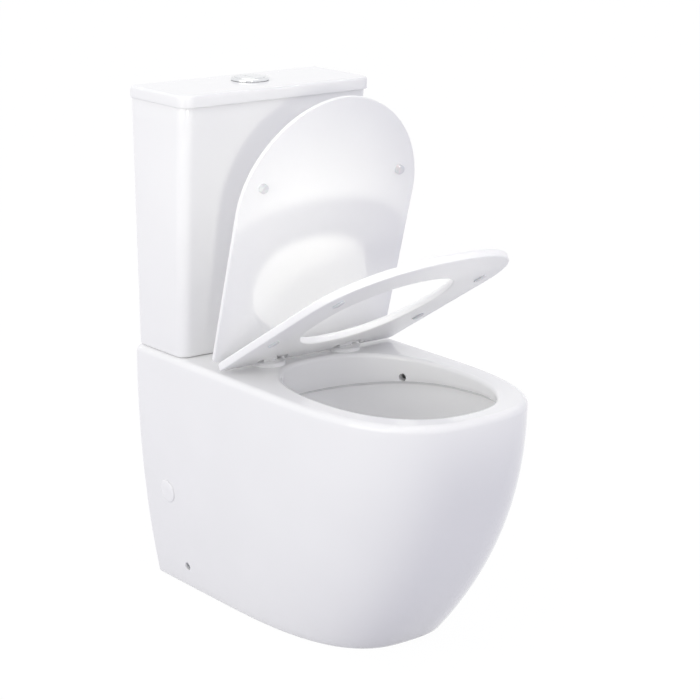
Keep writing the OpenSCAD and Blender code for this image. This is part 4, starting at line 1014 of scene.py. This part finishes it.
class TOILET_OT_tank(bpy.types.Operator):
    """Makes the cistern tank: a tapering shell with a rolled foot, holes in its floor"""
    bl_idname = "toilet.tank"
    bl_label = "Cistern tank"

    def execute(self, context):
        cistern, low, high = settings("cistern"), TANK_LOW.z, TANK_HIGH.z
        rows = [tank_loop(z, inset) for inset, z in low_edge(TANK_FOOT, low, 7)]
        rows += [tank_loop(z) for z in np.linspace(low + TANK_FOOT, high - TANK_TOP, 14)[1:]]
        rows += [tank_loop(high - TANK_TOP / 3, TANK_TOP / 3), tank_loop(high, TANK_TOP)]
        tank = clay(solid("tank_china", rows), False)
        floor, centre = low + cistern.floor, -cistern.valve_y
        hollow = [tank_loop(z, cistern.wall + inset)
                  for inset, z in low_edge(TANK_INSIDE, floor, 6)]
        hollow += [tank_loop(z, cistern.wall)
                   for z in np.linspace(floor + TANK_INSIDE, high + PAST, 8)[1:]]
        holes = ((0, cistern.valve_hole), (-cistern.fill_x, cistern.fill_hole),
                 (-cistern.bolt_x, cistern.bolt_hole), (cistern.bolt_x, cistern.bolt_hole))
        combine(tank, "DIFFERENCE", clay(solid("tank hollow", hollow), True),
                *(upright("floor hole", x, centre, across / 2, low - PAST, floor + PAST)
                  for x, across in holes))
        fitted(shaded(tank), "cistern_tank", "base")
        return {"FINISHED"}


class TOILET_OT_lid(bpy.types.Operator):
    """Makes the cistern lid: a soft edged slab with a faint crown, a locating rim and a hole"""
    bl_idname = "toilet.lid"
    bl_label = "Cistern lid"

    def execute(self, context):
        cistern, button = settings("cistern"), settings("button")
        low, high, centre = TANK_HIGH.z, LID_HIGH.z, -cistern.valve_y
        rows = [lid_loop(z, inset) for inset, z in low_edge(LID_UNDER, low, 4)]
        rows += [lid_loop(z, 0) for z in np.linspace(low + LID_UNDER, high - LID_SOFT, 4)[1:]]
        rows += [lid_loop(z - LID_CROWN, inset)
                 for inset, z in high_edge(LID_SOFT, high, 9)[1:]]
        rows += crowned(rows[-1], np.array([0, centre, high - LID_CROWN]), LID_CROWN,
                        (0.93, 0.85, 0.7, 0.5))
        lid = clay(solid("lid_china", rows), False)
        rim = [rim_loop(low - RIM_DEEP, RIM_SOFT), rim_loop(low - RIM_DEEP + RIM_SOFT, 0),
               rim_loop(low + OVERLAP, 0)]
        combine(lid, "UNION", clay(solid("locating rim", rim), True))
        hollow = [rim_loop(z, RIM_THICK)
                  for z in (low - RIM_DEEP - PAST, high - cistern.lid_thickness)]
        hole = upright("button hole", 0, centre, button.across / 2 + HOLE_PLAY, low - 2 * PAST,
                       high + PAST)
        combine(lid, "DIFFERENCE", clay(solid("lid hollow", hollow), True), hole)
        fitted(shaded(lid), "cistern_lid", "cistern_top")
        return {"FINISHED"}


# ---------- the flush buttons ----------

# the ring's guide: what it leaves round the buttons, and its outside beyond them; how far the ring
# stands off the lid
BUTTON_PLAY, GUIDE, RING_LIFT = 0.0004, 0.0025, 0.0003
# how round the ring is outside, its chamfer on the lid, and (from the bore, down) pairs of its
# inner edge
RING_ROUND, RING_CHAMFER, RING_INNER = 0.003, 0.0006, ((0.0022, 0), (0.0008, 0.0003), (0, 0.0012))
# how round a button's edge is, how far its face is dished, and how soft the split between them is
BUTTON_EDGE, BUTTON_DISH, SPLIT_EDGE = 0.0016, 0.0004, 0.0003
# the shelf in the ring that carries the buttons: depth under the lid's top, thickness, and the
# places and radius of its holes for the push rods
SHELF_DROP, SHELF, ROD_X, ROD_Y, ROD_HOLE = 0.020, 0.0025, 0.009, -0.017, 0.0035


def ring_profile(bore, outer, foot, seat, top):
    """The button ring in section: up its guide, out on the lid, and over its rounded edge."""
    guide = bore - BUTTON_PLAY + GUIDE
    return [(bore, foot), (guide, foot), (guide, seat), (outer - RING_CHAMFER, seat),
            (outer, seat + RING_CHAMFER),
            *arc((outer - RING_ROUND, top - RING_ROUND), RING_ROUND, 0, 90, 9),
            *((bore + across, top - down) for across, down in RING_INNER)]


class TOILET_OT_buttons(bpy.types.Operator):
    """Makes the plated button ring with its guide, and the two buttons that fill it"""
    bl_idname = "toilet.buttons"
    bl_label = "Flush buttons"

    def execute(self, context):
        button, centre = settings("button"), -settings("cistern").valve_y
        at, radius = (0, centre, 0), button.across / 2
        bore, shelf_top = radius + BUTTON_PLAY, LID_HIGH.z - SHELF_DROP
        profile = ring_profile(bore, button.ring / 2, RING_LOW.z, LID_HIGH.z + RING_LIFT,
                               RING_HIGH.z)
        ring = lathed("button_ring_plated", profile, at=at, open_bore=True)
        shelf = upright("shelf", 0, centre, bore + OVERLAP / 2, shelf_top - SHELF, shelf_top)
        holes = [upright("rod hole", side * ROD_X, centre + ROD_Y, ROD_HOLE, shelf_top - 2 * PAST,
                         shelf_top + 2 * PAST) for side in (-1, 1)]
        combine(shelf, "DIFFERENCE", *holes)
        combine(ring, "UNION", shelf)
        fitted(shaded(ring), "button_ring", "cistern_top", "bright plate")

        for name in ("half", "full"):
            node = name + "_flush_button"
            (x_low, _, low), (x_high, _, high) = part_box(node)
            face = arc((radius - BUTTON_EDGE, high - BUTTON_EDGE - BUTTON_DISH), BUTTON_EDGE,
                       0, 90, 7)
            hollow = [(share * radius, high - BUTTON_DISH * share) for share in (0.8, 0.5, 0.2)]
            puck = lathed(name + "_button_plated", [(radius, low), *face, *hollow], at=at)
            keep = block("keep", (x_low, centre - radius, low - 2 * PAST),
                         (x_high, centre + radius, high + 2 * PAST))
            combine(puck, "INTERSECT", keep)
            softened(puck, SPLIT_EDGE)
            fitted(shaded(puck), node, name + "_flush", "bright plate")
        return {"FINISHED"}


# ---------- the seat and the cover ----------

# radius of the corners behind the hinges, and squareness of the seat's opening
BACK_CORNER, HOLE_SQUARENESS = 0.006, 2.25
# how round the ring is outside, below and above, and where its dished top starts and ends, from
# the outside and from the opening; how round the opening is above and below
RING_UNDER, RING_EDGE, DISH_START, DISH_END = 0.0022, 0.005, 0.009, 0.010
HOLE_EDGE, HOLE_UNDER = 0.0066, 0.0025
# how far under its full height the ring lies on its edge, where its dish starts and ends, and on
# the opening's edge
EDGE_FALL, START_FALL, END_FALL, HOLE_FALL = 0.0005, 0.0001, 0.0007, 0.0006
# the cover's underside edge, top edge, crown, and the distance from the hinges to its middle
COVER_UNDER, COVER_EDGE, COVER_CROWN, COVER_MIDDLE = 0.0016, 0.0042, 0.0012, 0.22
# what is left at the end of a hinge barrel's bore; how far the ring's bridges reach past its
# notches, and the cover's necks in front of the hinge axis
BORE_END, BRIDGE, NECK = 0.0015, 0.006, 0.009
# what the ring leaves free: in front of a post, beside it, round a hinge plate, and over that
NOTCH, POST_ROOM, PLATE_ROOM, PLATE_OVER = 0.017, 0.0012, 0.003, 0.0013
# the long pads under the ring: width, length, places as (sideways, from the hinges), and the
# (inset, depth) pairs down their soft edge
PAD_WIDTH, PAD_LENGTH, PADS = 0.010, 0.026, ((0.142, 0.118), (0.136, 0.297))
PAD_EDGE = ((0.0, 0.0), (0.0, 0.0016), (0.0003, 0.0022), (0.0009, 0.0026), (0.002, 0.0027))
# the round bumpers under the cover: place, and the (radius, depth) pairs of one from its tip
STUD_PLACE = (0.132, -0.292)
STUD = ((0.003, 0.0082), (0.0045, 0.0082), (0.0057, 0.0078), (0.006, 0.0070), (0.006, 0.0062),
        (0.0069, 0.0062), (0.0075, 0.0056), (0.0075, 0))


def at_angle(piece, turn):
    """Turns a piece that was drawn closed, with the hinge axis through the origin, to its angle."""
    return moved(piece, Matrix.Translation(HINGE) @ Matrix.Rotation(-turn, 4, "X"))


def plate_loops(edge, side, squareness):
    """Outlines of the ring or the cover, one for each (inset, height) pair of an edge."""
    seat = settings("seat")
    return [raised(d_loop(seat.width - 2 * inset, seat.reach - inset, side, squareness,
                          seat.back - inset, BACK_CORNER), z) for inset, z in edge]


def hole_loops(edge):
    """Outlines of the seat's opening, one for each (growth, height) pair of an edge: superellipses
    that answer point for point to the ring's outline."""
    seat = settings("seat")
    return [raised(oval_loop(seat.hole_width + 2 * grow, seat.hole_from - grow,
                             seat.hole_to + grow, HOLE_SQUARENESS), z) for grow, z in edge]


def knuckle(name, start, end, radius):
    """A hinge barrel along X with softly turned ends."""
    soft, softer = 0.0008, 0.00024
    return lathed(name, [(radius - soft, start), (radius - softer, start + softer),
                         (radius, start + soft), (radius, end - soft),
                         (radius - softer, end - softer), (radius - soft, end)], axis_z=False)


def for_both(spacing, make):
    """The pieces that make() gives, moved to the right hinge, and their mirror images at the left
    one."""
    shift = Matrix.Translation((spacing / 2, 0, 0))
    return [moved(tool, Matrix.Scale(side, 4, (1, 0, 0)) @ shift)
            for side in (1, -1) for tool in make()]


class TOILET_OT_seat_ring(bpy.types.Operator):
    """Makes the seat ring: soft edged with a dished top, hinge barrels and room for the posts"""
    bl_idname = "toilet.seat_ring"
    bl_label = "Seat ring"

    def execute(self, context):
        seat, hinge = settings("seat"), settings("hinge")
        low = seat.ring_low
        high = low + seat.ring_thickness
        edge = [*low_edge(RING_UNDER, low, 6),
                *arc((RING_EDGE, high - RING_EDGE - EDGE_FALL), RING_EDGE, 180, 96, 9),
                (DISH_START, high - START_FALL)]
        hole = [(DISH_END, high - END_FALL),
                *arc((HOLE_EDGE, high - HOLE_EDGE - HOLE_FALL), HOLE_EDGE, 100, 180, 9),
                *arc((HOLE_UNDER, low + HOLE_UNDER), HOLE_UNDER, 180, 270, 6)]
        outside = plate_loops(edge, seat.ring_side, seat.ring_squareness)
        inside = hole_loops(hole)
        ring = closed_ring("seat_ring_moulding", [
            *outside, *spanned(outside[-1], inside[0], 8),
            *inside, *spanned(inside[-1], outside[0], 6)])

        near = hinge.post / 2 + hinge.gap
        far = near + hinge.lug

        def lugs():
            """A barrel beside the post, and the bridge that joins it to the ring."""
            bridge = block("bridge", (-far, -NOTCH - BRIDGE, low), (-near, 0, high - OVERLAP),
                           corner=0.0008)
            return [knuckle("barrel", -far, -near, hinge.barrel), bridge]

        def room():
            """What is cut out for the post, for the hinge plate and for the pin."""
            plate_top = hinge.plate_height - HINGE.z + PAN_HIGH.z + PLATE_OVER
            return [block("post room", (-near, -NOTCH, low - PAST),
                          (far + POST_ROOM, seat.back + PAST, high + PAST), corner=0.0015),
                    upright("plate room", 0, 0, hinge.plate / 2 + PLATE_ROOM, low - PAST,
                            plate_top),
                    lathed("bore", [(hinge.bore, BORE_END - far), (hinge.bore, 0)], axis_z=False)]

        combine(ring, "UNION", *for_both(hinge.spacing, lugs))
        combine(ring, "DIFFERENCE", *for_both(hinge.spacing, room))
        at_angle(ring, seat.ring_angle)
        fitted(shaded(ring), "seat_ring", "seat", "moulded resin")
        return {"FINISHED"}


class TOILET_OT_seat_cover(bpy.types.Operator):
    """Makes the cover: a slim crowned plate with soft edges and hinge barrels on two necks"""
    bl_idname = "toilet.seat_cover"
    bl_label = "Seat cover"

    def execute(self, context):
        seat, hinge = settings("seat"), settings("hinge")
        low = seat.cover_low
        top = low + seat.cover_thickness - COVER_CROWN
        edge = [*low_edge(COVER_UNDER, low, 6), *high_edge(COVER_EDGE, top, 10)]
        rows = plate_loops(edge, seat.cover_side, seat.cover_squareness)
        rows += crowned(rows[-1], np.array([0, -COVER_MIDDLE, top]), COVER_CROWN,
                        (0.95, 0.88, 0.78, 0.64, 0.46, 0.24))
        cover = solid("cover_moulding", rows)
        near = hinge.post / 2 + hinge.gap
        far = near + hinge.lug

        def lugs():
            """A barrel beside the post, and the neck that joins it to the cover."""
            neck = block("neck", (near, -NECK, 0), (far, seat.back - OVERLAP, low + OVERLAP),
                         corner=0.001)
            return [knuckle("barrel", near, far, hinge.barrel), neck]

        def bores():
            """The bore for the damper in the barrel."""
            return [lathed("bore", [(hinge.bore, 0), (hinge.bore, far - BORE_END)], axis_z=False)]

        combine(cover, "UNION", *for_both(hinge.spacing, lugs))
        combine(cover, "DIFFERENCE", *for_both(hinge.spacing, bores))
        at_angle(cover, seat.cover_angle)
        fitted(shaded(cover), "seat_cover", "cover", "moulded resin")
        return {"FINISHED"}


def pad(x, y, low):
    """A long pad with round ends: its outline shrinks about its middle by PAD_EDGE's insets."""
    half, flat = PAD_WIDTH / 2, (PAD_LENGTH - PAD_WIDTH) / 2
    loop = np.concatenate([arc((x, y + flat), half, 0, 180, 13),
                           arc((x, y - flat), half, 180, 360, 13)])
    middle = loop.mean(0)
    return solid("seat_bumper_pads", [raised(middle + (loop - middle) * (1 - inset / half), low - z)
                                      for inset, z in reversed(PAD_EDGE)])


class TOILET_OT_bumpers(bpy.types.Operator):
    """Makes the soft bumpers: long pads under the seat ring, round buttons under the cover"""
    bl_idname = "toilet.bumpers"
    bl_label = "Bumpers"

    def execute(self, context):
        seat = settings("seat")
        pads, other = (pad(x, -forward, seat.ring_low) for x, forward in PADS)
        at_angle(mirrored(combine(pads, "UNION", other)), seat.ring_angle)
        fitted(shaded(pads, 50), "seat_bumpers", "seat", "soft bumper")

        stud = lathed("cover_bumper_pads", [(radius, -depth) for radius, depth in STUD],
                      at=(*STUD_PLACE, seat.cover_low))
        at_angle(mirrored(stud), seat.cover_angle)
        fitted(shaded(stud, 50), "cover_bumpers", "cover", "soft bumper")
        return {"FINISHED"}


# a hinge plate's rounded edge, its chamfer and its play round the post's foot; the radius of the
# bolt's bore in the post
PLATE_EDGE, PLATE_CHAMFER, FOOT_PLAY, BOLT_BORE = 0.004, 0.0004, 0.00005, 0.00405


class TOILET_OT_hinges(bpy.types.Operator):
    """Makes the round hinge plates on the deck and the posts that carry the pins"""
    bl_idname = "toilet.hinges"
    bl_label = "Hinges"

    def execute(self, context):
        hinge = settings("hinge")
        deck, rise = PAN_HIGH.z, HINGE.z - PAN_HIGH.z
        tall, radius, bore = hinge.plate_height, hinge.plate / 2, hinge.foot + FOOT_PLAY
        turn = np.radians(np.linspace(0, 90, 12))
        dome = np.stack([radius - PLATE_EDGE + PLATE_EDGE * np.cos(turn), tall * np.sin(turn)], 1)
        profile = [(bore, 0), (radius - PLATE_CHAMFER, 0), *dome, (bore + PLATE_CHAMFER, tall),
                   (bore, tall - PLATE_CHAMFER)]
        plate = lathed("hinge_plate_moulding", profile, open_bore=True,
                       at=(hinge.spacing / 2, HINGE.y, deck))
        fitted(shaded(mirrored(plate)), "hinge_plates", "base", "gloss plastic")

        half, bar, seated = hinge.post / 2, hinge.barrel, tall - rise
        post = knuckle("hinge_post_moulding", -half, half, bar)
        body = block("block", (-half, -bar, seated), (half, bar, 0), corner=0.0012)
        foot = upright("foot", 0, 0, hinge.foot, -rise, seated + OVERLAP)
        combine(post, "UNION", body, foot)
        pin = lathed("pin bore", [(hinge.pin, -hinge.post), (hinge.pin, hinge.post)], axis_z=False)
        bolt = upright("bolt bore", 0, 0, BOLT_BORE, -rise - PAST, seated - OVERLAP)
        combine(post, "DIFFERENCE", pin, bolt)
        moved(post, Matrix.Translation((hinge.spacing / 2, HINGE.y, HINGE.z)))
        fitted(shaded(mirrored(post)), "hinge_posts", "base", "gloss plastic")
        return {"FINISHED"}


class TOILET_OT_fittings(bpy.types.Operator):
    """Gives the valves, bolts, seals and brackets of the frame their finishes"""
    bl_idname = "toilet.fittings"
    bl_label = "Fittings"

    def execute(self, context):
        for finish, nodes in KEPT_NODES.items():
            for node in nodes:
                mesh = frame["nodes"][node].data
                mesh.materials.clear()
                mesh.materials.append(material(finish))
        return {"FINISHED"}


# ---------- the stage ----------

# name, width, spread in degrees, place and target of each lamp
LAMPS = (("left", 2.4, 180, (-3.2, -0.6, 1.6), (0, -0.3, 0.4)),
         ("top", 2.4, 180, (0.0, -0.5, 3.4), (0, -0.3, 0.4)),
         ("corner", 2.0, 180, (-2.6, -2.0, 2.6), (0, -0.3, 0.4)),
         ("upper", 0.2, 12, (-1.3, -2.7, 1.0), (-0.05, -0.15, 0.70)),
         ("under", 0.2, 10, (0.1, -3.0, 0.36), (0, -0.35, 0.58)))
# how strongly the floor shows white to the camera and with what share, and half its width
FLOOR_WHITE, FLOOR_SHARE, FLOOR_HALF = 1.03, 0.95, 8.0


def soft_lamp(name, power, size, spread, place, target):
    """A square soft lamp that looks from its place to a target, its light spread over an angle."""
    lamp = bpy.data.lights.new(name, "AREA")
    lamp.energy = power
    lamp.size = size
    lamp.spread = radians(spread)
    lamp.color = settings("look").lamps
    made = bpy.data.objects.new(name, lamp)
    turn = (Vector(place) - Vector(target)).to_track_quat("Z", "Y").to_matrix().to_4x4()
    made.matrix_world = Matrix.Translation(place) @ turn
    bpy.context.scene.collection.objects.link(made)


def seen_rays(tree):
    """1 on camera, glossy and transmission rays, 0 on rays that carry light to the object."""
    path = tree.nodes.new("ShaderNodeLightPath").outputs
    seen = arithmetic(tree, "MAXIMUM", path["Is Camera Ray"], path["Is Glossy Ray"])
    return arithmetic(tree, "MAXIMUM", seen, path["Is Transmission Ray"])


def white_when_seen(tree, share, lit, white, out):
    """Mixes a lit shader with a white one by a share, into an output node's surface."""
    mix = tree.nodes.new("ShaderNodeMixShader")
    for value, socket in zip((share, lit, white), mix.inputs):
        tree.links.new(value, socket)
    tree.links.new(mix.outputs["Shader"], out.inputs["Surface"])


def floor_material():
    """A pale floor that mostly shows white to the camera and keeps a share of the soft shadow."""
    made = bpy.data.materials.new("studio floor")
    made.use_nodes = True
    tree = made.node_tree
    shader = tree.nodes["Principled BSDF"]
    shader.inputs["Base Color"].default_value = rgba(settings("look").floor)
    shader.inputs["Roughness"].default_value = 0.9
    shader.inputs["Specular IOR Level"].default_value = 0.0
    white = tree.nodes.new("ShaderNodeEmission")
    white.inputs["Strength"].default_value = FLOOR_WHITE
    white_when_seen(tree, arithmetic(tree, "MULTIPLY", seen_rays(tree), FLOOR_SHARE),
                    shader.outputs["BSDF"], white.outputs["Emission"],
                    tree.nodes["Material Output"])
    return made


def even_world(strength):
    """Even pale light all round, and plain white where it is seen."""
    world = bpy.data.worlds.new("studio")
    bpy.context.scene.world = world
    world.use_nodes = True
    tree = world.node_tree
    light = tree.nodes["Background"]
    light.inputs["Color"].default_value = rgba(settings("look").world)
    light.inputs["Strength"].default_value = strength
    white = tree.nodes.new("ShaderNodeBackground")
    white.inputs["Color"].default_value = (1, 1, 1, 1)
    white_when_seen(tree, seen_rays(tree), light.outputs["Background"],
                    white.outputs["Background"], tree.nodes["World Output"])


def aimed_camera(stage):
    """A camera that looks at its target from an azimuth and a height angle, tilted by its roll."""
    turn, rise = stage.azimuth, stage.elevation
    back = Vector((sin(turn) * cos(rise), -cos(turn) * cos(rise), sin(rise)))
    right = (-back).cross(Vector((0, 0, 1))).normalized()
    axes = Matrix((right, back.cross(right), back)).transposed()
    axes = axes @ Matrix.Rotation(stage.roll, 3, "Z")
    camera = bpy.data.objects.new("camera", bpy.data.cameras.new("camera"))
    camera.data.lens = stage.lens
    camera.data.sensor_width = 36
    place = Vector(stage.target) + back * stage.distance
    camera.matrix_world = Matrix.Translation(place) @ axes.to_4x4()
    return camera


class TOILET_OT_stage(bpy.types.Operator):
    """Sets the camera at the photograph's angle, the soft lamps, the world and the pale floor"""
    bl_idname = "toilet.stage"
    bl_label = "Stage"

    def execute(self, context):
        stage, scene = settings("stage"), context.scene
        scene.camera = aimed_camera(stage)
        scene.collection.objects.link(scene.camera)
        scene.view_settings.view_transform = "Standard"
        for name, *shape in LAMPS:
            soft_lamp(name, getattr(stage, name), *shape)
        even_world(stage.world)
        corners = [(x * FLOOR_HALF, y * FLOOR_HALF, 0.0)
                   for x, y in ((-1, -1), (1, -1), (1, 1), (-1, 1))]
        floor = new_piece("studio_floor", np.array(corners), np.array([(0, 1, 2, 3)]))
        floor.data.materials.append(floor_material())
        return {"FINISHED"}


# ---------- panel and registration ----------

ORDER = ("stage", "pan", "side_caps", "tank", "lid", "buttons", "seat_ring", "seat_cover",
         "bumpers", "hinges", "fittings")


class TOILET_PT_panel(bpy.types.Panel):
    """Lists what can be made, in the order in which it is made"""
    bl_label = "Toilet"
    bl_idname = "TOILET_PT_panel"
    bl_space_type = "VIEW_3D"
    bl_region_type = "UI"
    bl_category = "Toilet"

    def draw(self, context):
        for name in ORDER:
            self.layout.operator("toilet." + name)


OPERATORS = (TOILET_OT_stage, TOILET_OT_pan, TOILET_OT_side_caps, TOILET_OT_tank, TOILET_OT_lid,
             TOILET_OT_buttons, TOILET_OT_seat_ring, TOILET_OT_seat_cover, TOILET_OT_bumpers,
             TOILET_OT_hinges, TOILET_OT_fittings)


def register():
    """Registers the classes and gives the scene its property groups."""
    for kind in (*GROUPS.values(), *OPERATORS, TOILET_PT_panel):
        bpy.utils.register_class(kind)
    for name, kind in GROUPS.items():
        setattr(bpy.types.Scene, name, PointerProperty(type=kind))


def unregister():
    """Takes back what register does, last things first."""
    for name in GROUPS:
        delattr(bpy.types.Scene, name)
    for kind in (TOILET_PT_panel, *OPERATORS, *GROUPS.values()):
        bpy.utils.unregister_class(kind)


def main():
    """Makes everything in its order."""
    register()
    for name in ORDER:
        getattr(bpy.ops.toilet, name)()


if __name__ == "__main__":
    main()
